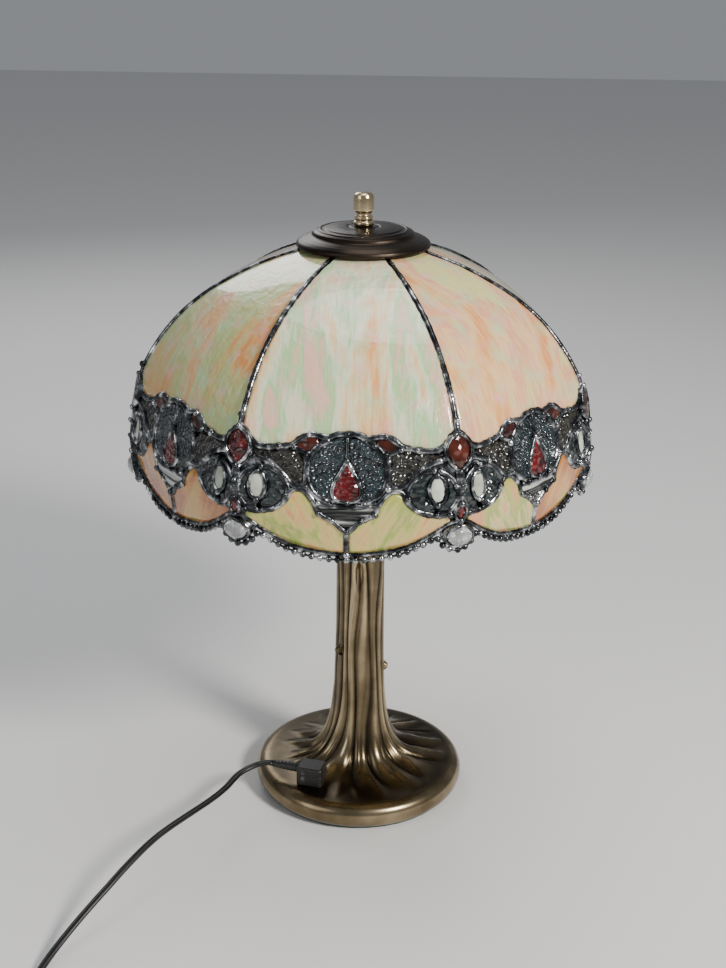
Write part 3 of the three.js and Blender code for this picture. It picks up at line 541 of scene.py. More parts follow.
OPAL_STOPS = {
    "front": (
        (0.32, (0.80, 0.36, 0.12)),
        (0.41, (0.78, 0.58, 0.30)),
        (0.50, (0.73, 0.73, 0.54)),
        (0.60, (0.36, 0.60, 0.28)),
        (0.68, (0.76, 0.48, 0.36)),
    ),
    "warm": (
        (0.32, (0.76, 0.28, 0.08)),
        (0.41, (0.80, 0.42, 0.17)),
        (0.50, (0.80, 0.54, 0.27)),
        (0.59, (0.76, 0.34, 0.21)),
        (0.68, (0.68, 0.63, 0.26)),
    ),
    "green": (
        (0.32, (0.72, 0.28, 0.07)),
        (0.41, (0.66, 0.42, 0.15)),
        (0.50, (0.44, 0.50, 0.19)),
        (0.60, (0.56, 0.58, 0.30)),
        (0.69, (0.72, 0.41, 0.18)),
    ),
}
PANE_STOPS = {
    "peach": (
        (0.32, (0.62, 0.26, 0.10)),
        (0.43, (0.62, 0.42, 0.14)),
        (0.52, (0.50, 0.46, 0.12)),
        (0.60, (0.27, 0.35, 0.05)),
        (0.69, (0.62, 0.42, 0.18)),
    ),
    "lime": (
        (0.32, (0.62, 0.28, 0.12)),
        (0.42, (0.44, 0.40, 0.09)),
        (0.53, (0.29, 0.35, 0.07)),
        (0.62, (0.58, 0.48, 0.20)),
        (0.70, (0.66, 0.34, 0.16)),
    ),
    "caramel": (
        (0.32, (0.36, 0.10, 0.012)),
        (0.44, (0.50, 0.20, 0.028)),
        (0.56, (0.58, 0.28, 0.05)),
        (0.68, (0.50, 0.32, 0.06)),
    ),
}
PANEL_KINDS = ("front", "warm", "front", "green", "warm", "front", "green")
LEFT_PANE_KINDS = ("peach", "lime", "peach", "caramel", "peach", "lime", "caramel")
RIGHT_PANE_KINDS = ("peach", "caramel", "lime", "peach", "caramel", "peach", "caramel")

antique_bronze = bronze_finish()
leading_finish = solder_finish()
dark_bronze = metal_finish(
    "dark_bronze", (0.016, 0.012, 0.01), (0.05, 0.038, 0.029), (0.28, 0.46), 30.0
)
brass = metal_finish("brass", (0.56, 0.43, 0.24), (0.74, 0.60, 0.38), (0.12, 0.26), 50.0)
steel = metal_finish("steel", (0.42, 0.42, 0.42), (0.62, 0.62, 0.60), (0.25, 0.45), 60.0)
screw_steel = metal_finish(
    "screw_steel", (0.07, 0.07, 0.07), (0.26, 0.26, 0.26), (0.3, 0.5), 200.0
)
iron = metal_finish(
    "cast_iron", (0.05, 0.05, 0.05), (0.14, 0.13, 0.12), (0.5, 0.8), 60.0, 500.0
)
bulb_metal = metal_finish(
    "bulb_metal", (0.62, 0.61, 0.58), (0.80, 0.79, 0.76), (0.15, 0.3), 70.0
)
phenolic = metal_finish(
    "phenolic", (0.004, 0.004, 0.004), (0.013, 0.012, 0.011), (0.42, 0.6), 90.0, 1200.0, 0.0
)
cord_black = metal_finish(
    "cord_black", (0.003, 0.003, 0.003), (0.009, 0.009, 0.01), (0.34, 0.5), 60.0, 1500.0, 0.0
)
felt = metal_finish(
    "felt", (0.02, 0.05, 0.03), (0.05, 0.10, 0.06), (0.85, 1.0), 200.0, 1600.0, 0.0
)
ruby = jewel_finish("ruby_glass", (0.02, 0.0004, 0.0004), (0.13, 0.003, 0.004), 300.0, 0.6)
brown_ruby = jewel_finish(
    "brown_ruby_glass", (0.016, 0.003, 0.0015), (0.08, 0.014, 0.006), 200.0, 0.5
)
# Painted shade: the clear hammered glass gets a near-black colour that stands in for the dark
# inside of the shade seen through it.
hammered_painted_shade = jewel_finish(
    "hammered_glass", (0.002, 0.004, 0.005), (0.018, 0.033, 0.04), 420.0, 1.0
)
smoke = jewel_finish("smoke_glass", (0.005, 0.0045, 0.003), (0.03, 0.027, 0.02), 330.0, 1.0)
ripple = jewel_finish(
    "rippled_glass",
    (0.008, 0.009, 0.009),
    (0.5, 0.52, 0.5),
    110.0,
    1.0,
    stretch=(0.3, 0.3, 4.0),
    spread=(0.5, 0.6),
)
teal = jewel_finish("teal_glass", (0.002, 0.004, 0.004), (0.018, 0.028, 0.03), 260.0, 0.9)
eye_opal = jewel_finish("eye_opal_glass", (0.30, 0.33, 0.27), (0.64, 0.68, 0.58), 120.0, 0.25)
clear_glass = jewel_finish(
    "clear_glass", (0.75, 0.78, 0.78), (0.95, 0.96, 0.96), 60.0, 0.15, 0.75
)
bulb_white = bulb_finish()
JEWEL_GLASS = {
    "ruby": ruby, "brown_ruby": brown_ruby, "hammered_painted_shade": hammered_painted_shade, "smoke": smoke,
    "rippled": ripple, "teal": teal, "eye_opal": eye_opal,
}

# --- cord: its run, its coil and its tail ---------------------------------------------
CORD_ROUTE = [
    (-63.3, -38.6, 31.2), (-68.3, -38, 31), (-73.4, -38.5, 30.1), (-78.1, -40.1, 29),
    (-82.5, -42.8, 28), (-86.2, -46.4, 27.3), (-89.1, -50.8, 27), (-91.5, -57.2, 27),
    (-94.2, -67.5, 27.9), (-98.5, -82, 30.3), (-104, -97, 33), (-110.2, -110, 34.8),
    (-117, -123, 36.2), (-124, -135.5, 37), (-130.8, -147, 36.8), (-137, -158, 35.6),
    (-143, -169, 33.5), (-149.5, -180.5, 30.4), (-156, -191.5, 26.4), (-163, -202, 21.8),
    (-170, -212.5, 16.8), (-177, -224, 11.6), (-183, -236, 7.2), (-187.5, -249, 4.1),
    (-189.7, -262, 2.6), (-190.2, -275, 2.3), (-190.2, -286.5, 2.4),
]
# Each change of turn: the angle where it starts, then the radius and height after it.
COIL_CHANGES = [
    (460, COIL_INNER, 2.9), (800, COIL_INNER, 6.1), (1140, COIL_OUTER, 6.1),
    (1480, COIL_OUTER, 9.3), (1820, COIL_INNER, 9.3), (2160, COIL_INNER, 12.5),
    (2500, COIL_OUTER, 12.5),
]
CHANGE_ANGLE = 50
COIL_END = 2790


def coil_point(angle):
    radius, height = COIL_OUTER, 2.9
    for start, to_radius, to_height in COIL_CHANGES:
        share = float(ease((angle - start) / CHANGE_ANGLE))
        radius += (to_radius - radius) * share
        height += (to_height - height) * share
    turn = math.radians(angle)
    return (
        COIL_CENTRE[0] + radius * math.cos(turn),
        COIL_CENTRE[1] + radius * math.sin(turn),
        height,
    )


def cord_centreline():
    coil = [coil_point(a) for a in range(180, COIL_END + 1, 12)]
    tail = [(-148, -338.9, 11.4), (-138, -338.9, 9), (-127, -338.4, 6.3), PLUG_ENTRY]
    knots = CORD_ROUTE + coil + tail
    fine = catmull(knots, 6000)
    length = np.r_[0, np.cumsum(np.linalg.norm(np.diff(fine, axis=0), axis=1))]
    even = np.linspace(0, length[-1], int(length[-1] / 2) + 1)
    line = np.stack([np.interp(even, length, fine[:, k]) for k in range(3)], axis=1)
    return line, length[-1]


def lead_section():
    """Two round cores side by side, with a groove between them."""
    section = []
    for side in (1, -1):
        for k in range(9):
            turn = math.radians(-128.7 + 257.4 * k / 8)
            section.append((side * (1.0 + 1.6 * math.cos(turn)), side * 1.6 * math.sin(turn)))
    return np.array(section)


def level_frames(line):
    ways = np.gradient(line, axis=0)
    ways /= np.linalg.norm(ways, axis=1)[:, None]
    frames = []
    for way in ways:
        side = np.cross(way, (0, 0, 1))
        side /= np.linalg.norm(side)
        frames.append((side, np.cross(side, way)))
    return frames


cord_line, cord_length = cord_centreline()
cord_build = Builder()
cord_build.add(*tube(cord_line, level_frames(cord_line), lead_section()))
cord = cord_build.piece("power_cord", cord_black, "root", "cord_black")
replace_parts(cord, "cord", "cord_coil")


def in_clamp_frame(points):
    return turned_to(points, CLAMP_PLACE, CLAMP_TURN)


def relief_sleeve():
    """A tapered sleeve with a shoulder and shallow ribs, flattened like the lead."""
    start, end, stations, sides = 10.2, 30.3, 48, 24
    wide_end, narrow_end, shoulder, ribs, bore = 4.3, 3.05, 0.08, 7, 0.2
    outline = []
    for k in range(stations + 1):
        u = k / stations
        radius = wide_end + (narrow_end - wide_end) * u
        rib = 0.25
        if u > shoulder:
            rib = 0.32 * max(0.0, math.sin(u * ribs * 2 * math.pi - 0.6)) ** 0.7
        outline.append((start + (end - start) * u, radius - rib))
    turns = [2 * math.pi * k / sides for k in range(sides)]
    points, faces = capped_rings(
        [
            [(x, r * math.cos(t), CORD_AXIS + 0.86 * r * math.sin(t)) for t in turns]
            for x, r in [(start, bore)] + outline + [(end, bore)]
        ]
    )
    build = Builder()
    build.add(in_clamp_frame(points), faces)
    sleeve = build.piece("relief_sleeve", cord_black, "root", "cord_black")
    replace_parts(sleeve, "strain_relief")
    return sleeve


def squarish(count, power):
    """A rounded square of unit half-width, as points around it."""
    turns = np.linspace(0, 2 * math.pi, count, endpoint=False)
    shape = np.stack([np.cos(turns), np.sin(turns)], axis=1)
    return np.sign(shape) * np.abs(shape) ** power


def at_plug(points):
    """Points along the plug, from its cord end, turned and placed beside the coil."""
    return turned_to(points, PLUG_PLACE, PLUG_TURN)


def moulded_plug():
    """The plug's moulded body with grip ribs, and its two round pins."""
    shape = squarish(32, 0.62)
    rings = []
    for x in np.linspace(0, PLUG_LENGTH, 103):
        grow = float(ease(x / 13))
        wide, tall = 3.3 + 3.4 * grow, 2.5 + 2.0 * grow
        end = 0.75 * max(0, 1 - (PLUG_LENGTH - x) / 1.4) ** 2
        end += 0.5 * max(0, 1 - x / 1.2) ** 2
        groove = 0.55 if 11 < x < 27 and (x - 11) % 2.7 < 1.1 else 0
        ring = shape * (wide - end - groove, tall - end - 0.4 * groove)
        away = np.full(len(ring), x)
        rings.append(np.column_stack([away, ring[:, 0], ring[:, 1] + PLUG_MIDDLE]))
    points, faces = capped_rings(rings)
    build = Builder()
    build.add(at_plug(points), faces)
    body = build.piece("moulded_plug", cord_black, "root", "cord_black")
    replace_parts(body, "plug")
    pins = Builder()
    pin_shape = ((33.6, 1.9), (43.5, 1.9), (43.8, 1.98), (51.6, 1.98), (52.6, 1.6), (53, 0.9))
    sides = 20
    turns = np.linspace(0, 2 * math.pi, sides, endpoint=False)
    across, up = np.cos(turns), np.sin(turns)
    for y in (-PIN_ASIDE, PIN_ASIDE):
        points, faces = capped_rings(
            [
                np.column_stack([np.full(sides, x), y + r * across, PLUG_MIDDLE + r * up])
                for x, r in pin_shape
            ]
        )
        pins.add(at_plug(points), faces)
    return body, pins.piece("plug_pins", steel, "root", "steel")


def strap_tie():
    """A ribbed strap round the coil, with its catch on top."""
    loop = squarish(72, 0.4)
    half = np.array([6.8, 7.4])
    middle, height = (COIL_OUTER + COIL_INNER) / 2 + 0.05, 7.7
    section = [(-3.3, 0), (-2.9, 0.1), (2.9, 0.1), (3.3, 0), (3.3, 0.7), (-3.3, 0.7)]
    points = []
    for k, (x, z) in enumerate(loop):
        rib = 0.16 if k % 2 else 0
        for along, sunk in section:
            keep = (half - sunk - (rib if sunk == 0.1 else 0.1)) * (x, z)
            points.append((middle + keep[0], along, height + keep[1]))
    faces = shell_faces(len(loop), len(section), wrap_rows=True, wrap_columns=True)
    catch = squarish(20, 0.5)
    rings = [
        np.column_stack([middle + w * catch[:, 0], d * catch[:, 1], np.full(20, z)])
        for z, w, d in ((14.2, 2.9, 3.2), (14.9, 2.9, 3.2), (15.15, 2.5, 2.8))
    ]
    build = Builder()
    for shape, joined in ((points, faces), capped_rings(rings)):
        build.add(turned_to(shape, (*COIL_CENTRE, 0), math.radians(60)), joined)
    tie = build.piece("strap_tie", phenolic, "root", "phenolic")
    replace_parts(tie, "cord_tie")
    return tie


relief = relief_sleeve()
plug_body, plug_pins = moulded_plug()
tie = strap_tie()

# --- the shade's surface ------------------------------------------------------------
SEAM_SHARES = [
    (0, 1), (0.1, 0.98), (0.292, 0.932), (0.477, 0.865), (0.6, 0.807), (0.735, 0.72),
    (0.862, 0.597), (0.946, 0.467), (0.989, 0.298), (1, 0.19), (0.962, 0),
]


def seam_table():
    points = np.array(
        [
            (NECK_RADIUS + (SHADE_RADIUS - NECK_RADIUS) * out, RIM + SHADE_HEIGHT * up)
            for out, up in SEAM_SHARES
        ]
    )
    last = len(points) - 1
    rows = []
    for t in np.linspace(0, last, 1201):
        k = min(int(t), last - 1)
        w = t - k
        p0, p1 = points[max(k - 1, 0)], points[k]
        p2, p3 = points[k + 1], points[min(k + 2, last)]
        v0, v1 = (p2 - p0) / 2, (p3 - p1) / 2
        cubic = 2 * p1 - 2 * p2 + v0 + v1
        square = -3 * p1 + 3 * p2 - 2 * v0 - v1
        rows.append(cubic * w**3 + square * w**2 + v0 * w + p1)
    return np.array(rows)[::-1]


SEAM = seam_table()
SEAM_SLOPE = np.gradient(SEAM[:, 0]) / np.gradient(SEAM[:, 1])
SEAM_RUN = np.r_[0, np.cumsum(np.hypot(*np.diff(SEAM, axis=0).T))]


def seam_at(z):
    """Radius and outward normal (out, up) of the seam curve at heights z."""
    slope = np.interp(z, SEAM[:, 1], SEAM_SLOPE)
    size = np.hypot(1, slope)
    return np.interp(z, SEAM[:, 1], SEAM[:, 0]), 1 / size, -slope / size


def shade_radius(seam, z, angle):
    share = np.clip((z - RIM) / BAND_HEIGHT, 0, 1)
    from_neck = np.clip((seam - NECK_RADIUS) / ROUND_NECK, 0, 1)
    flat = from_neck * (FLAT_AT_RIM + (FLAT_ABOVE - FLAT_AT_RIM) * share)
    return seam * (1 - flat * (1 - math.cos(SECTOR / 2) / np.cos(angle)))


def on_shade(sector, across, z, depth=0.0):
    """Points of one sector; across is scaled so that every height's seam is SEAM_HALF."""
    across, z, depth = np.broadcast_arrays(*(np.asarray(v, float) for v in (across, z, depth)))
    seam, out, up = seam_at(z)
    side = seam * math.sin(SECTOR / 2) * across / SEAM_HALF
    angle = np.zeros_like(side)
    for _ in range(7):
        angle = np.arcsin(np.clip(side / shade_radius(seam, z, angle), -0.95, 0.95))
    r = shade_radius(seam, z, angle) - depth * out
    turn = sector * SECTOR + angle
    return np.stack([r * np.sin(turn), -r * np.cos(turn), z - depth * up], axis=-1)


def on_seam(sector, aside, z, depth=0.0, fold=0.18):
    """Points beside the seam that follows a sector, aside in true millimetres."""
    aside, z, depth = np.broadcast_arrays(*(np.asarray(v, float) for v in (aside, z, depth)))
    seam, out, up = seam_at(z)
    r = seam - depth * out - fold * np.abs(aside)
    turn = (sector + 0.5) * SECTOR
    x = r * math.sin(turn) + aside * math.cos(turn)
    y = -r * math.cos(turn) + aside * math.sin(turn)
    return np.stack([x, y, z - depth * up], axis=-1)


def plate(upper, lower, rows):
    """A closed shell between an outer and an inner grid of points, rows by columns."""
    count = upper.shape[0] * upper.shape[1]
    columns = upper.shape[1]
    faces = shell_faces(rows, columns)
    faces += [tuple(v + count for v in f[::-1]) for f in shell_faces(rows, columns)]
    edge = list(range(columns))
    edge += [j * columns + columns - 1 for j in range(1, rows)]
    edge += [(rows - 1) * columns + i for i in range(columns - 2, -1, -1)]
    edge += [j * columns for j in range(rows - 2, 0, -1)]
    for a, b in zip(edge, edge[1:] + edge[:1]):
        faces.append((b, a, a + count, b + count))
    return np.vstack([upper.reshape(-1, 3), lower.reshape(-1, 3)]), faces


def between(place, first, second, columns, rows, dome=0.6, thick=GLASS, sunk=0.0):
    """A glass piece between two smooth lines of (across, height), domed in the middle."""
    a = catmull(first, columns)
    b = catmull(second, columns)
    v = np.linspace(0, 1, rows)[:, None, None]
    grid = a[None] * (1 - v) + b[None] * v
    u = np.linspace(0, 1, columns)[None, :]
    swell = (4 * v[:, :, 0] * (1 - v[:, :, 0])) ** 0.55 * (4 * u * (1 - u)) ** 0.35
    outer = place(grid[..., 0], grid[..., 1], sunk - dome * swell)
    inner = place(grid[..., 0], grid[..., 1], sunk + thick)
    return plate(outer, inner, rows)


def bar(place, line, width, proud, count):
    """A solder-covered lead along a line of (across, height), its width uneven."""
    path = catmull(line, count)
    top = place(path[:, 0], path[:, 1], -proud)
    middle = place(path[:, 0], path[:, 1], GLASS / 2)
    way = np.gradient(middle, axis=0)
    way /= np.maximum(np.linalg.norm(way, axis=1), 1e-9)[:, None]
    up = top - middle
    up /= np.linalg.norm(up, axis=1)[:, None]
    side = np.cross(way, up)
    side /= np.linalg.norm(side, axis=1)[:, None]
    half = GLASS / 2 + proud
    phase = path[:, 0] * 0.53 + path[:, 1] * 0.71
    uneven = 1 + 0.13 * np.sin(phase * 1.9) + 0.09 * np.sin(phase * 4.3 + 1)
    shape = squarish(10, 0.8)
    return capped_rings(
        [
            middle[i]
            + np.outer(shape[:, 0] * width / 2 * uneven[i], side[i])
            + np.outer(shape[:, 1] * half * (0.94 + 0.08 * uneven[i]), up[i])
            for i in range(count)
        ]
    )


# --- the band's pattern, as (across, height) on the right half of a sector ---------------
BAND_TOP_LINE = [
    (0, 336), (7, 335.6), (12.5, 333.4), (17.5, 334.2), (23.4, 335), (29, 332.8),
    (34, 328.8), (42, 327), (51.5, 326), (57, 327), (61.5, 330.5), (65.5, 335.4), (69, 337.5),
]
PANE_TOP_LINE = [
    (0, 274), (8, 280.8), (17, 286.4), (20.5, 294.5), (27, 301.2), (33.5, 300.6), (37.4, 293.6),
    (43, 288.4), (50, 285.6), (57, 284.6), (62.5, 285.6), (69, 287),
]
RIM_LINE = [
    (0, 257.4), (9, 257.6), (18, 258.6), (27, 260), (36, 262.4), (44, 266), (52, 271),
    (58, 275.4), (62.5, 278.6), (69, 281),
]
EYEBROW = (
    [(16.5, 329), (19.5, 333), (24, 334.2), (28.8, 332), (33, 327.2)],
    [(16.5, 329), (19.8, 325.4), (24, 323.9), (28.5, 324.9), (33, 327.2)],
)
PETAL = (
    [(0.4, 333.6), (0.4, 327), (0.6, 320.4), (4.2, 313.4), (8.2, 306), (9.6, 300), (7.6, 295.4)],
    [(11, 332.6), (17.5, 329), (23, 322.6), (25, 315), (24.4, 307.5), (19.6, 298.6), (10.6, 293.6)],
)
TEARDROP_SIDE = [(0, 320), (3.4, 314), (7.4, 306.8), (8.9, 301), (7, 296.2), (0, 294)]
WING = (
    [(25.6, 322), (32, 325.2), (42, 325.4), (52, 324), (60.5, 322.4)],
    [(25.8, 303), (32, 303), (38.4, 308.4), (47, 316), (59, 320.6)],
)
EYE_LEFT = (
    [(53, 314), (46, 312.8), (39.4, 307.6), (36, 300), (39.4, 291.6), (46, 287), (53, 286)],
    [(53, 310.8), (50.6, 308.6), (48.6, 305), (48, 301.5), (48.6, 297.6), (50.6, 293.6),
     (53, 291.6)],
)
EYE_RIGHT = (
    [(55.4, 314), (61, 311.6), (65.6, 306.5), (67.4, 300), (66, 292.6), (61.4, 287.6), (55.4, 286)],
    [(56.6, 310.8), (59.4, 308.6), (61.4, 305), (62, 301.5), (61.4, 297.6), (59.4, 293.6),
     (56.6, 291.6)],
)
EYE_OVAL = (
    [(55, 311), (51.8, 308.8), (49.8, 302), (51.6, 295.4), (55, 292.6)],
    [(55, 311), (58.4, 308.8), (60.2, 302), (58.6, 295.4), (55, 292.6)],
)
CALYX = (
    [(-16.8, 293.4), (-9, 291.2), (0, 291.4), (9, 291.2), (16.8, 293.4)],
    [(-17.2, 286.4), (-10.5, 282.6), (0, 275), (10.5, 282.6), (17.2, 286.4)],
)
SCALLOP = (
    [(1.2, 275.4), (8.6, 282), (17.6, 287), (21, 295), (27, 300.4), (33, 299.8), (37, 293),
     (43, 288), (50, 285.2), (57, 284.2), (62.6, 285.2)],
    [(1.2, 259), (8, 259), (14, 259.6), (20, 260.4), (26, 261.4), (32, 262.6), (38, 264.6),
     (45, 268.4), (51, 272), (57, 276.4), (62.6, 280.4)],
)
DIAMOND = [(0, 336), (-6, 332), (-8.2, 325.5), (-5, 319), (0, 314.4)]
SMALL_DIAMOND = [(0, 292), (-2.9, 289.4), (-3.2, 286.6), (-2, 284), (0, 282)]
# Jewels on both sides of a sector: glass, lines, columns, rows and dome.
SIDE_JEWELS = (
    ("hammered_painted_shade", PETAL, 22, 8, 0.7),
    ("brown_ruby", EYEBROW, 16, 7, 0.8),
    ("smoke", WING, 20, 8, 0.6),
    ("teal", EYE_LEFT, 20, 6, 0.5),
    ("teal", EYE_RIGHT, 20, 6, 0.5),
    ("eye_opal", EYE_OVAL, 14, 8, 0.8),
)
RUBY_DIAMONDS = (2, 4, 6)
SEAM_JEWEL_SUNK = -0.6
PANEL_STEPS, PANEL_ROWS = 40, 34


def mirrored(line):
    return [(-s, z) for s, z in line]


def flipped(lines, side):
    """The lines on the right side as they are, or mirrored on the left."""
    return [line if side > 0 else mirrored(line) for line in lines]


def whole(line):
    return mirrored(line)[::-1] + [p for p in line if p[0] > 0]


def seeded(value):
    """A steady value from 0 to 1 for a number."""
    return (math.sin(value * 12.9898) * 43758.5453) % 1.0


def pour_offset(first, second):
    """Where on the pour a piece was cut."""
    return (seeded(first) * 9, seeded(second) * 9, 0.0)


def pour_map(piece, sector, turned=0.0):
    """Lays the glass's pour over the piece: u across, v down, in tenths of a metre."""
    mesh = piece.data
    layer = mesh.uv_layers.new(name="pour")
    points = np.empty(len(mesh.vertices) * 3, np.float32)
    mesh.vertices.foreach_get("co", points)
    points = points.reshape(-1, 3) / MM
    turn = turn_from(np.arctan2(points[:, 0], -points[:, 1]), sector * SECTOR)
    run = np.interp(points[:, 2], SEAM[:, 1], SEAM_RUN) / 100
    u = turn * np.hypot(points[:, 0], points[:, 1]) / 100
    c, s = math.cos(turned), math.sin(turned)
    uv = np.stack([u * c - run * s, u * s + run * c], axis=1)
    corners = np.empty(len(mesh.loops), np.int32)
    mesh.loops.foreach_get("vertex_index", corners)
    layer.data.foreach_set("uv", uv[corners].astype(np.float32).ravel())


def make_panel(k):
    """One bent main panel, from the neck to the top of the band."""
    reach = SEAM_HALF - 1.2
    foot = catmull(whole(BAND_TOP_LINE), 4 * PANEL_STEPS)
    s = np.linspace(-reach, reach, PANEL_STEPS + 1)
    foot_z = np.interp(s, foot[:, 0], foot[:, 1])
    v = np.linspace(0, 1, PANEL_ROWS)[:, None]
    top_run = np.interp(PANEL_TOP, SEAM[:, 1], SEAM_RUN)
    foot_run = np.interp(foot_z, SEAM[:, 1], SEAM_RUN)[None]
    z = np.interp(top_run + (foot_run - top_run) * v, SEAM_RUN, SEAM[:, 1])
    across = np.broadcast_to(s[None], z.shape)
    name = f"opal_panel_{k + 1}"
    finish = opal_finish(name, pour_offset(k + 1, k + 11), OPAL_STOPS[PANEL_KINDS[k]])
    build = Builder()
    build.add(*plate(on_shade(k, across, z, 0), on_shade(k, across, z, GLASS), PANEL_ROWS))
    panel = build.piece(name, finish, "shade", "opal_glass")
    pour_map(panel, k)
    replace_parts(panel, f"panel_{k + 1}")


def make_scallops(k):
    """The two streaky panes under the pattern, one on each side of the stem."""
    for side, label, kinds in ((-1, "left", LEFT_PANE_KINDS), (1, "right", RIGHT_PANE_KINDS)):
        name = f"streaky_pane_{label}_{k + 1}"
        offset = pour_offset(k + side * 3 + 21, k + side * 5 + 31)
        finish = opal_finish(name, offset, PANE_STOPS[kinds[k]], 4.5, False)
        build = Builder()
        build.add(*between(partial(on_shade, k), *flipped(SCALLOP, side), 34, 10, 0.25))
        pane = build.piece(name, finish, "shade", "streaky_glass")
        pour_map(pane, k, 0.5 * side)
        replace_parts(pane, f"scallop_{label}_{k + 1}")


def make_jewels(k):
    """The pieces of the band in one sector, each cut on its own, gathered by their glass."""
    place, seam_place = partial(on_shade, k), partial(on_seam, k)
    kinds = {name: Builder() for name in JEWEL_GLASS}
    kinds["ruby"].add(
        *between(place, mirrored(TEARDROP_SIDE), TEARDROP_SIDE, 20, 9, 1.5)
    )
    for side in (1, -1):
        for glass, lines, columns, rows, dome in SIDE_JEWELS:
            kinds[glass].add(*between(place, *flipped(lines, side), columns, rows, dome))
    kinds["rippled"].add(*between(place, *CALYX, 24, 8, 0.5))
    kinds["ruby" if k in RUBY_DIAMONDS else "brown_ruby"].add(
        *between(seam_place, DIAMOND, mirrored(DIAMOND), 16, 9, 1.2, GLASS, SEAM_JEWEL_SUNK)
    )
    lines = (SMALL_DIAMOND, mirrored(SMALL_DIAMOND))
    kinds["ruby"].add(*between(seam_place, *lines, 12, 7, 0.8, GLASS, SEAM_JEWEL_SUNK))
    for name, build in kinds.items():
        finish = JEWEL_GLASS[name]
        jewel = build.piece(f"{name}_jewels_{k + 1}", finish, "shade", "band_glass")
        if name == "hammered_painted_shade":
            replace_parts(jewel, f"band_glass_{k + 1}")
    lines = (whole(BAND_TOP_LINE), whole(PANE_TOP_LINE))
    web = Builder()
    web.add(*between(place, *lines, 73, 5, 0.0, 1.4, 0.9))
    web.piece(f"solder_web_{k + 1}", leading_finish, "shade", "lead")


def make_cabochon(k):
    """A clear oval cabochon in its collar, over the seam at the rim."""
    turns = np.linspace(0, 2 * math.pi, 32, endpoint=False)
    rings = []
    for polar in np.linspace(0.06, math.pi - 0.5, 13):
        spread, rise = math.sin(polar), math.cos(polar)
        aside = 8.2 * spread * np.cos(turns)
        height = CABOCHON_HEIGHT + 6.0 * spread * np.sin(turns)
        rings.append(on_seam(k, aside, height, -(3.0 + 3.6 * rise), 0.02))
    points, faces = capped_rings(rings)
    build = Builder()
    build.add(points, faces)
    bead = build.piece(f"clear_cabochon_{k + 1}", clear_glass, "shade", "clear_glass")
    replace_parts(bead, f"cabochon_{k + 1}")


# Leads: line, width, how far each stands proud, and steps along it.
MIDDLE_LEADS = (
    (whole(BAND_TOP_LINE), 4.6, 1.5, 75),
    (whole(PANE_TOP_LINE), 4.2, 1.4, 75),
    (whole(RIM_LINE), 4.0, 1.1, 60),
    ([(0, 276), (0, 268), (0, 256.6)], 3.6, 1.4, 10),
    ([(0, 335), (0, 328), (0, 319)], 3.2, 1.4, 8),
)
SIDE_LEADS = (
    (TEARDROP_SIDE, 3.4, 1.6, 18),
    (PETAL[1], 4.8, 1.5, 22),
    (EYEBROW[1], 3.6, 1.4, 14),
    (WING[1], 4.8, 1.5, 18),
    (WING[0][:1] + [(25.4, 312)] + WING[1][:1], 3.8, 1.4, 8),
    (EYE_LEFT[0], 4.4, 1.5, 22),
    (EYE_RIGHT[0], 4.2, 1.5, 22),
    (EYE_OVAL[0], 3.1, 1.5, 14),
    (EYE_OVAL[1], 3.1, 1.5, 14),
)
SEAM_LEADS = (
    ([(0, z) for z in (423.5, 420, 412, 400, 388, 374, 360, 348, 338)], 4.0, 1.4, 44),
    ([(0, 314), (0, 303), (0, 292)], 7.0, 1.4, 12),
    ([(0, 282), (0, 272), (0, 262)], 4.4, 1.0, 12),
)
DIAMOND_LEADS = (
    ([(0, 337), (-6.6, 332.6), (-9, 325.5), (-5.6, 318.2), (0, 313.6)], 3.0, 2.2, 16),
    ([(0, 293), (-3.6, 289.8), (-4, 286.6), (-2.6, 283.4), (0, 281.2)], 2.4, 2.2, 16),
)
CALYX_LEAD = (CALYX[0], 3.8, 1.4, 18)
COLLAR_TURNS = np.linspace(0, 2 * math.pi, 25)
COLLAR = [(9.6 * math.sin(t), CABOCHON_HEIGHT + 7.2 * math.cos(t)) for t in COLLAR_TURNS]
# Where drops of solder lie: on both sides of a sector, and on the seams.
SIDE_DROPS = (
    (0, 320), (0, 294), (10.6, 293.4), (16.9, 293.4), (17.2, 286.4), (16.8, 329),
    (33, 327), (25.4, 322), (25, 303), (60, 321.6), (37, 297), (53, 314), (55, 286),
    (66, 304), (62.6, 285.6), (43, 327), (55, 311), (55, 292.4), (8.6, 281.6),
    (0, 335.6), (24, 334.6), (24, 324), (0, 274.6), (0, 257.6), (46, 315.6),
)
SEAM_DROPS = (337.4, 313.4, 304, 293, 281.6, 344)


def make_leads():
    """Every lead of the shade, and the places of its solder drops."""
    build = Builder()
    joints = []
    for k in range(SECTORS):
        place, seam_place = partial(on_shade, k), partial(on_seam, k, fold=0.1)
        for lead in MIDDLE_LEADS:
            build.add(*bar(place, *lead))
        for side in (1, -1):
            for line, *rest in SIDE_LEADS:
                build.add(*bar(place, *flipped([line], side), *rest))
            joints += [place(side * s, z, -0.7) for s, z in SIDE_DROPS]
        build.add(*bar(place, *CALYX_LEAD))
        for line, *rest in DIAMOND_LEADS:
            for side in (1, -1):
                build.add(*bar(seam_place, *flipped([line], side), *rest))
        build.add(*bar(partial(on_seam, k, fold=0.04), COLLAR, 2.6, 3.2, 40))
        for lead in SEAM_LEADS:
            build.add(*bar(seam_place, *lead))
        joints += [seam_place(0, z, -1.2) for z in SEAM_DROPS]
    leads = build.piece("shade_leads", leading_finish, "shade", "lead")
    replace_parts(leads, "shade_leading")
    ring = [(33.4, 417.9), (33.4, 429), (31.8, 429), (31.8, 417.9)]
    neck = Builder()
    neck.add(*lathe(rounded(ring, 2, 0.4), 96))
    neck.piece("neck_ring", leading_finish, "shade", "lead")
    return np.array(joints)


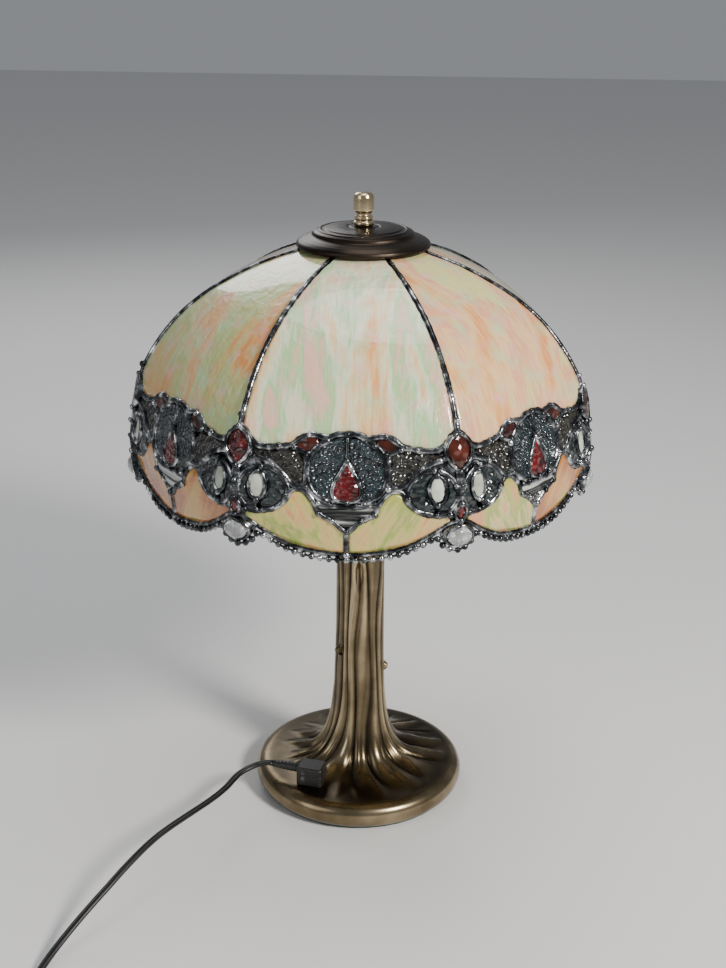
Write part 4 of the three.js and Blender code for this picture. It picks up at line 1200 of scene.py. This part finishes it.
# --- repeats made by geometry nodes ----------------------------------------------------
def socket_key(tree, label):
    return next(
        item.identifier
        for item in tree.interface.items_tree
        if item.item_type == "SOCKET" and item.in_out == "INPUT" and item.name == label
    )


def with_finish(tree, given, made, shape):
    """Ends a geometry tree with the finish it is given."""
    links = {"Geometry": shape.outputs[0], "Material": given.outputs["Finish"]}
    done = put(tree, "GeometryNodeSetMaterial", links)
    tree.links.new(done.outputs[0], made.inputs[0])


def beads_tree(name, along_line):
    """Beads on a line at an even spacing, or one on each point, each a little uneven."""
    tree, given, made = new_group(
        name,
        [
            ("Geometry", "NodeSocketGeometry", None),
            ("Bead Radius", FLOAT, 0.0018),
            ("Unevenness", FLOAT, 0.1),
            ("Spacing", FLOAT, 0.0055),
            ("Seed", "NodeSocketInt", 5),
            ("Finish", "NodeSocketMaterial", None),
        ],
        [("Geometry", "NodeSocketGeometry")],
        "GeometryNodeTree",
    )
    source = given.outputs["Geometry"]
    if along_line:
        curve = put(tree, "GeometryNodeMeshToCurve", {"Mesh": source})
        source = put(
            tree,
            "GeometryNodeResampleCurve",
            {"Curve": curve.outputs[0], "Length": given.outputs["Spacing"]},
            mode="LENGTH",
        ).outputs[0]
    sphere = put(
        tree,
        "GeometryNodeMeshUVSphere",
        {"Segments": 8, "Rings": 6, "Radius": given.outputs["Bead Radius"]},
    )
    uneven = given.outputs["Unevenness"]
    random_size = put(tree, "FunctionNodeRandomValue", data_type="FLOAT")
    sockets = {s.identifier: s for s in random_size.inputs}
    for key, value in (
        ("Min_001", maths(tree, "SUBTRACT", 1.0, uneven)),
        ("Max_001", maths(tree, "ADD", 1.0, uneven)),
        ("Seed", given.outputs["Seed"]),
    ):
        tree.links.new(value, sockets[key])
    size = next(s for s in random_size.outputs if s.identifier == "Value_001")
    placed = put(
        tree,
        "GeometryNodeInstanceOnPoints",
        {"Points": source, "Instance": sphere.outputs[0], "Scale": size},
    )
    real = put(tree, "GeometryNodeRealizeInstances", {"Geometry": placed.outputs[0]})
    smooth = put(tree, "GeometryNodeSetShadeSmooth", {0: real.outputs[0]})
    with_finish(tree, given, made, smooth)
    return tree


def grown(name, tree, points, edges, values, body):
    """Runs a geometry tree over points and keeps the result as a plain mesh."""
    mesh = bpy.data.meshes.new(name + "_places")
    mesh.from_pydata((np.asarray(points) * MM).tolist(), edges, [])
    holder = bpy.data.objects.new(name, mesh)
    scene.collection.objects.link(holder)
    modifier = holder.modifiers.new("repeat", "NODES")
    modifier.node_group = tree
    for label, value in values.items():
        modifier[socket_key(tree, label)] = value
    holder.update_tag()
    bpy.context.view_layer.update()
    seen = holder.evaluated_get(bpy.context.evaluated_depsgraph_get())
    result = bpy.data.meshes.new_from_object(seen)
    holder.modifiers.remove(modifier)
    holder.data = result
    result.name = name
    bpy.data.meshes.remove(mesh)
    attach(holder, body)
    return holder


def rim_bead_line():
    """The beaded wire under the rim, dipping round each cabochon."""
    lowest, rise, reach = 254.3, 21.6, 62
    collar_half, collar_drop = 12.5, 10.4
    points = []
    for k in range(SECTORS):
        for s in np.linspace(-SEAM_HALF, SEAM_HALF, 60, endpoint=False):
            height, depth = lowest + rise * (abs(s) / reach) ** 2.6, -0.9
            beside = (SEAM_HALF - abs(s)) / collar_half
            if beside < 1:
                under = CABOCHON_HEIGHT - collar_drop * math.sqrt(1 - beside**2)
                height, depth = min(height, under), -1.8
            points.append(on_shade(k, s, height, depth))
    return np.array(points)


for k in range(SECTORS):
    make_panel(k)
    make_scallops(k)
    make_jewels(k)
    make_cabochon(k)
joint_points = make_leads()
bead_line = rim_bead_line()
loop_edges = [(i, (i + 1) % len(bead_line)) for i in range(len(bead_line))]
grown(
    "rim_beads",
    beads_tree("rim_beading", True),
    bead_line,
    loop_edges,
    {
        "Bead Radius": 0.0022,
        "Unevenness": 0.06,
        "Spacing": 0.0056,
        "Seed": 3,
        "Finish": leading_finish,
    },
    "shade",
)
wire = Builder()
wire_line = np.vstack([bead_line, bead_line[:1]])
ring_side = np.stack([wire_line[:, 0], wire_line[:, 1], 0 * wire_line[:, 0]], axis=1)
ring_side /= np.linalg.norm(ring_side, axis=1)[:, None]
round_wire = np.array([(math.cos(t), math.sin(t)) for t in np.linspace(0, 5.5, 8)]) * 0.8
wire.add(*tube(wire_line, [(side, np.array((0, 0, 1.0))) for side in ring_side], round_wire))
wire.piece("rim_wire", leading_finish, "shade", "lead")
grown(
    "solder_drops",
    beads_tree("solder_drop_points", False),
    joint_points,
    [],
    {"Bead Radius": 0.0021, "Unevenness": 0.24, "Seed": 11, "Finish": leading_finish},
    "shade",
)


# --- base and trunk ----------------------------------------------------------------------
BASE_PATH = [
    (17.9, 250), (17.5, 235), (17.3, 210), (17.4, 180), (17.7, 150), (18.1, 120), (18.9, 95),
    (20, 75), (22, 58), (25.6, 44), (31, 33.6), (38.5, 26.6), (48, 22.6), (58, 20.9), (66, 20.4),
]
BASE_LIP = [
    (69, 20.4), (72, 20.1), (75, 19.1), (77.4, 17.6), (79, 15.4), (79.9, 12.6), (80, 10),
    (79.5, 7.2), (78.2, 4.6), (76.6, 2.9), (75.5, 2.1),
]
BASE_INSIDE = [(67, 2.1), (67, 15.5), (11, 15.5), (11, 240.8), (5.4, 240.8), (5.4, 250)]
AROUND = 300
PLAIN_TONE = 0.42
KNOTS = ((116, -52, 5.2), (100, 82, 4.6))
HOLLOW_HEIGHT, HOLLOW_TURN = 184, 0.02


def ridge_height(turn, run):
    """Bark and roots, from 0 in a groove to 1 on a crest; run is 0 at the top, 1 at the dish."""
    sway = 0.14 * np.sin(3 * turn + 4.5 * run) + 0.07 * np.sin(5 * turn - 9 * run + 1)
    sway += 0.2 * np.sin(2 * turn + 7 * run + 2) * run + 0.05 * np.sin(turn + 16 * run)
    crest = np.abs(np.sin(7.5 * (turn + sway))) ** 0.6
    bark = np.abs(np.sin(12 * (turn + 0.8 * sway) + 5 * run)) ** 0.7
    broad = 0.5 + 0.5 * np.sin(4 * (turn + sway * 0.7) + 1.3 + 2.5 * run)
    return 0.6 * crest + 0.18 * bark + 0.22 * broad * crest**0.5


def base_casting():
    upper = catmull(BASE_PATH, 620)
    length = np.r_[0, np.cumsum(np.hypot(*np.diff(upper, axis=0).T))]
    share = np.linspace(0, 1, 196) ** 0.9
    upper = np.stack(
        [np.interp(share * length[-1], length, upper[:, k]) for k in (0, 1)], axis=1
    )
    lip = catmull(BASE_LIP, 26)
    rows = [(r, z, share[i]) for i, (r, z) in enumerate(upper)]
    rows += [(r, z, -1) for r, z in lip]
    rows += [(r, z, -1) for r, z in rounded(BASE_INSIDE, 2, 0.5, False)]
    turns = np.linspace(0, 2 * math.pi, AROUND, endpoint=False)
    points, ridge = [], []
    for r, z, run in rows:
        height = np.zeros(AROUND)
        push_out, push_up = np.zeros(AROUND), np.zeros(AROUND)
        if run >= 0:
            k = max(min(int(np.searchsorted(share, run)), len(upper) - 2), 1)
            dr, dz = upper[k + 1] - upper[k - 1]
            size = math.hypot(dr, dz)
            out, up = -dz / size, dr / size
            height = ridge_height(turns, run)
            reach = 67 + 8 * np.sin(turns - 0.2) + 5 * np.sin(15 * turns + 3 * np.sin(3 * turns))
            fade = ease((reach - r) / 30)
            amount = 1.9 + 4.2 * ease((r - 19) / 14)
            level = 0.62 - 0.34 * ease((r - 30) / 18)
            lift = np.maximum((height - level) * amount, -4 + 3.4 * ease((r - 30) / 14)) * fade
            lift *= ease((TRUNK_TOP - z) / 3 + 0.25)
            for knot_z, knot_turn, knot_size in KNOTS:
                away = np.hypot(turn_from(turns, math.radians(knot_turn)) * r, z - knot_z)
                lift += 0.8 * knot_size * np.exp(-((away / (0.62 * knot_size)) ** 4))
                lift -= 1.6 * np.exp(-((away / (0.3 * knot_size)) ** 2))
            hollow = np.hypot(
                turn_from(turns, HOLLOW_TURN) * r / 3.2,
                (z - HOLLOW_HEIGHT) / (16 if z < HOLLOW_HEIGHT else 7),
            )
            lift += 1.3 * np.exp(-((hollow / 1.8) ** 4)) - 3.0 * np.exp(-(hollow**4))
            push_out, push_up = lift * out, lift * up
            height = height * fade + (1 - fade) * PLAIN_TONE
        radius = r + push_out
        points.append(
            np.stack([radius * np.sin(turns), -radius * np.cos(turns), z + push_up], axis=1)
        )
        if run < 0:
            rubbed = 0.36 * float(ease((r - 69) / 6)) * float(z > 4)
            height = np.full(AROUND, PLAIN_TONE + rubbed)
        ridge.append(height)
    points = np.vstack(points)
    faces = shell_faces(len(rows), AROUND, wrap_rows=True, wrap_columns=True)
    faces = [face[::-1] for face in faces]
    casting = mesh_piece(
        "trunk_casting",
        points,
        faces,
        antique_bronze,
        "root",
        marks={"ridge": np.concatenate(ridge)},
    )
    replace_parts(casting, "base_casting")


base_casting()


# --- cap, finial, socket and bulb -----------------------------------------------------------
def turned_piece(name, outline, finish, body, slot, node, segments, soft):
    build = Builder()
    build.add(*lathe(rounded(outline, 3, soft), segments))
    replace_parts(build.piece(name, finish, body, slot), node)


turned_piece(
    "spun_cap",
    [
        (44.6, 423.1), (46.1, 423.2), (46.5, 424.7), (46.1, 426.4), (45, 427.4), (42.6, 428.8),
        (39, 430.2), (36.4, 430.9), (35.6, 431.4), (34.9, 432.9), (34.2, 433.6), (31.9, 434.4),
        (31.2, 435.1), (29.8, 435.4), (29, 435.0), (27, 435.2), (26.2, 435.9), (18, 436.6),
        (12, 436.8), (11.2, 436.5), (9.8, 436.6), (9.2, 436.9), (3.6, 436.9), (3.6, 435.5),
        (12, 435.3), (29, 433), (33, 430.6), (40.5, 428), (45.1, 424.7),
    ],
    dark_bronze, "cap", "dark_bronze", "cap", 128, 0.3,
)
turned_piece(
    "turned_finial",
    [
        (0, 446.6), (3.6, 446.6), (3.6, 437.2), (6.4, 437.2), (7, 438.3), (7, 440), (5.7, 441),
        (6.4, 442), (6.4, 443.6), (5.2, 444.8), (5.2, 446), (6.7, 447), (7, 448.2), (7, 456.6),
        (6.3, 458.8), (4.3, 459.9), (0, 460.2),
    ],
    brass, "finial", "brass", "finial", 64, 0.35,
)
turned_piece(
    "socket_cup",
    [
        (5.3, 252.6), (8, 252.6), (9, 255.6), (14.5, 259.6), (16.5, 267.5), (15.3, 267.5),
        (13.3, 261), (7.8, 257.6), (5.3, 257.6),
    ],
    brass, "root", "brass", "socket_cap", 64, 0.6,
)
turned_piece(
    "seat_plate",
    [(3.6, 412.3), (9, 412.3), (9, 416), (39, 415), (39, 416.5), (35.4, 417.5), (3.6, 417.5)],
    brass, "shade_seat", "brass", "shade_seat", 64, 0.3,
)


def threaded_base():
    """The bulb's screw base, three turns of a rolled thread over its contact."""
    steps, thread_turns = 23, 3
    outline = [(0, 285.5), (4.5, 285.9), (5, 289.5), (11.1, 290.5)]
    for i in range(steps + 1):
        u = i / steps
        wave = 0.42 * math.cos(u * thread_turns * 2 * math.pi + math.pi)
        outline.append((12.65 + wave, 291.6 + 20 * u))
    outline += [(12.7, 313), (12.8, 315.4), (0, 315.4)]
    return outline


def bulb_outline():
    """A round bulb on its neck, its outside and then its inside."""
    foot, height, radius = 315.8, 84, 29
    centre = foot + height - radius
    outer = []
    for i in range(19):
        turn = math.pi / 2 - i / 18 * math.pi * 0.68
        outer.append((radius * math.cos(turn), centre + radius * math.sin(turn)))
    outer[0] = (0, centre + radius)
    outer += [(19.4, 341), (16.6, 333), (15, 326), (13, 318), (12.5, foot)]
    inner = [(max(r - 1, 0), z - (1 if z > centre else 0)) for r, z in outer[::-1]]
    inner[-1] = (0, centre + radius - 1)
    return outer + inner


turned_piece(
    "bulb_screw", threaded_base(), bulb_metal, "bulb", "bulb_metal", "bulb_base", 48, 0.3
)
turned_piece(
    "bulb_envelope", bulb_outline(), bulb_white, "bulb", "bulb_glass", "bulb_glass", 64, 0.4
)


# --- clamp block and its screws --------------------------------------------------------------
def clamp_block():
    length, width, height = CLAMP_SIZE
    corner_radius, corner_steps = 2.2, 6
    levels = [
        (0.0, 1.2), (0.6, 0.5), (8.4, 0.5), (8.6, 0.9), (9.1, 0.9), (9.3, 0.5),
        (height - 1.4, 0.5), (height - 0.5, 1.0), (height, 2.0),
    ]
    rings = []
    for z, inset in levels:
        ring = []
        for cx, cy in ((-1, -1), (1, -1), (1, 1), (-1, 1)):
            start = math.atan2(cy, cx) - math.pi / 4
            reach = corner_radius - inset + 0.5
            for k in range(corner_steps + 1):
                turn = start + math.pi / 2 * k / corner_steps
                x = cx * (length / 2 - corner_radius) + reach * math.cos(turn)
                y = cy * (width / 2 - corner_radius) + reach * math.sin(turn)
                ring.append((x, y, z))
        rings.append(ring)
    points, faces = capped_rings(rings)
    build = Builder()
    build.add(in_clamp_frame(points), faces)
    block = build.piece("clamp_block", phenolic, "root", "phenolic", False)
    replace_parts(block, "cord_clamp")
    bevel = block.modifiers.new("edges", "BEVEL")
    bevel.width = 0.0004
    bevel.segments = 2


clamp_block()


def screws_tree():
    """Round screw heads, each with a crossed recess, one on each point."""
    tree, given, made = new_group(
        "clamp_screws",
        [
            ("Geometry", "NodeSocketGeometry", None),
            ("Head Radius", FLOAT, 0.0019),
            ("Head Height", FLOAT, 0.0009),
            ("Facing", VECTOR, (0, 0, 0)),
            ("Finish", "NodeSocketMaterial", None),
        ],
        [("Geometry", "NodeSocketGeometry")],
        "GeometryNodeTree",
    )
    head = put(
        tree,
        "GeometryNodeMeshCylinder",
        {
            "Vertices": 20,
            "Radius": given.outputs["Head Radius"],
            "Depth": given.outputs["Head Height"],
        },
    )
    one, two = (
        put(
            tree,
            "GeometryNodeMeshCube",
            {"Size": put(tree, "ShaderNodeCombineXYZ", {0: x, 1: y, 2: 0.0012}).outputs[0]},
        )
        for x, y in ((0.003, 0.0005), (0.0005, 0.003))
    )
    cross = put(tree, "GeometryNodeMeshBoolean", operation="UNION")
    tree.links.new(one.outputs[0], cross.inputs["Mesh 2"])
    tree.links.new(two.outputs[0], cross.inputs["Mesh 2"])
    raised = put(
        tree,
        "GeometryNodeTransform",
        {"Geometry": cross.outputs[0], "Translation": (0, 0, 0.0007)},
    )
    cut = put(tree, "GeometryNodeMeshBoolean", operation="DIFFERENCE")
    tree.links.new(head.outputs[0], cut.inputs["Mesh 1"])
    tree.links.new(raised.outputs[0], cut.inputs["Mesh 2"])
    placed = put(
        tree,
        "GeometryNodeInstanceOnPoints",
        {
            "Points": given.outputs["Geometry"],
            "Instance": cut.outputs[0],
            "Rotation": given.outputs["Facing"],
        },
    )
    real = put(tree, "GeometryNodeRealizeInstances", {"Geometry": placed.outputs[0]})
    with_finish(tree, given, made, real)
    return tree


front = CLAMP_SIZE[1] / 2 - 0.05
screw_places = in_clamp_frame([(4.6, front, 6.4), (4.2, front, 11.6)])
grown(
    "clamp_screw_heads",
    screws_tree(),
    screw_places,
    [],
    {
        "Head Radius": 0.0017,
        "Head Height": 0.0009,
        "Facing": (-math.pi / 2, 0.0, CLAMP_TURN),
        "Finish": screw_steel,
    },
    "root",
)


# --- finishes of the CAD pieces that show as they are ---------------------------------------
for name, finish in {
    "felt_pad": felt, "base_weight": iron, "pipe_washer": steel, "pipe_locknut": steel,
    "lamp_pipe": steel, "inner_lead": cord_black, "harp_saddle": brass, "harp": brass,
    "socket_shell": brass, "socket_liner": phenolic, "switch_key": phenolic,
}.items():
    piece = nodes[name]
    for slot in piece.material_slots:
        slot.material = finish

# --- stage and light ----------------------------------------------------------------------
floor_mesh = bpy.data.meshes.new("floor")
floor_mesh.from_pydata([(-6, -6, 0), (6, -6, 0), (6, 6, 0), (-6, 6, 0)], [], [(0, 1, 2, 3)])
floor = bpy.data.objects.new("floor", floor_mesh)
scene.collection.objects.link(floor)
floor_paint, floor_tree, floor_shader = new_finish(
    "floor_paint", {"Base Color": (0.72, 0.72, 0.72, 1), "Roughness": 0.7}
)
floor_mesh.materials.append(floor_paint)

world = bpy.data.worlds.new("studio")
world.use_nodes = True
background = world.node_tree.nodes["Background"]
background.inputs["Color"].default_value = (0.82, 0.85, 0.9, 1)
background.inputs["Strength"].default_value = 0.3
scene.world = world


def studio_light(name, place, size, power, colour=(1, 1, 1), target=(0, 0, 0.25)):
    light = bpy.data.lights.new(name, "AREA")
    light.shape = "DISK"
    light.size = size
    light.energy = power
    light.color = colour
    lamp = bpy.data.objects.new(name, light)
    scene.collection.objects.link(lamp)
    lamp.location = place
    lamp.rotation_euler = (Vector(target) - Vector(place)).to_track_quat("-Z", "Y").to_euler()


studio_light("key", (1.15, -1.05, 1.2), 0.4, 44, (1.0, 0.96, 0.9))
studio_light("fill", (-1.4, -1.3, 0.9), 1.2, 8)
studio_light("top", (0.1, 0.2, 1.9), 1.0, 8)
studio_light("back", (-0.6, 1.5, 1.2), 0.9, 8)
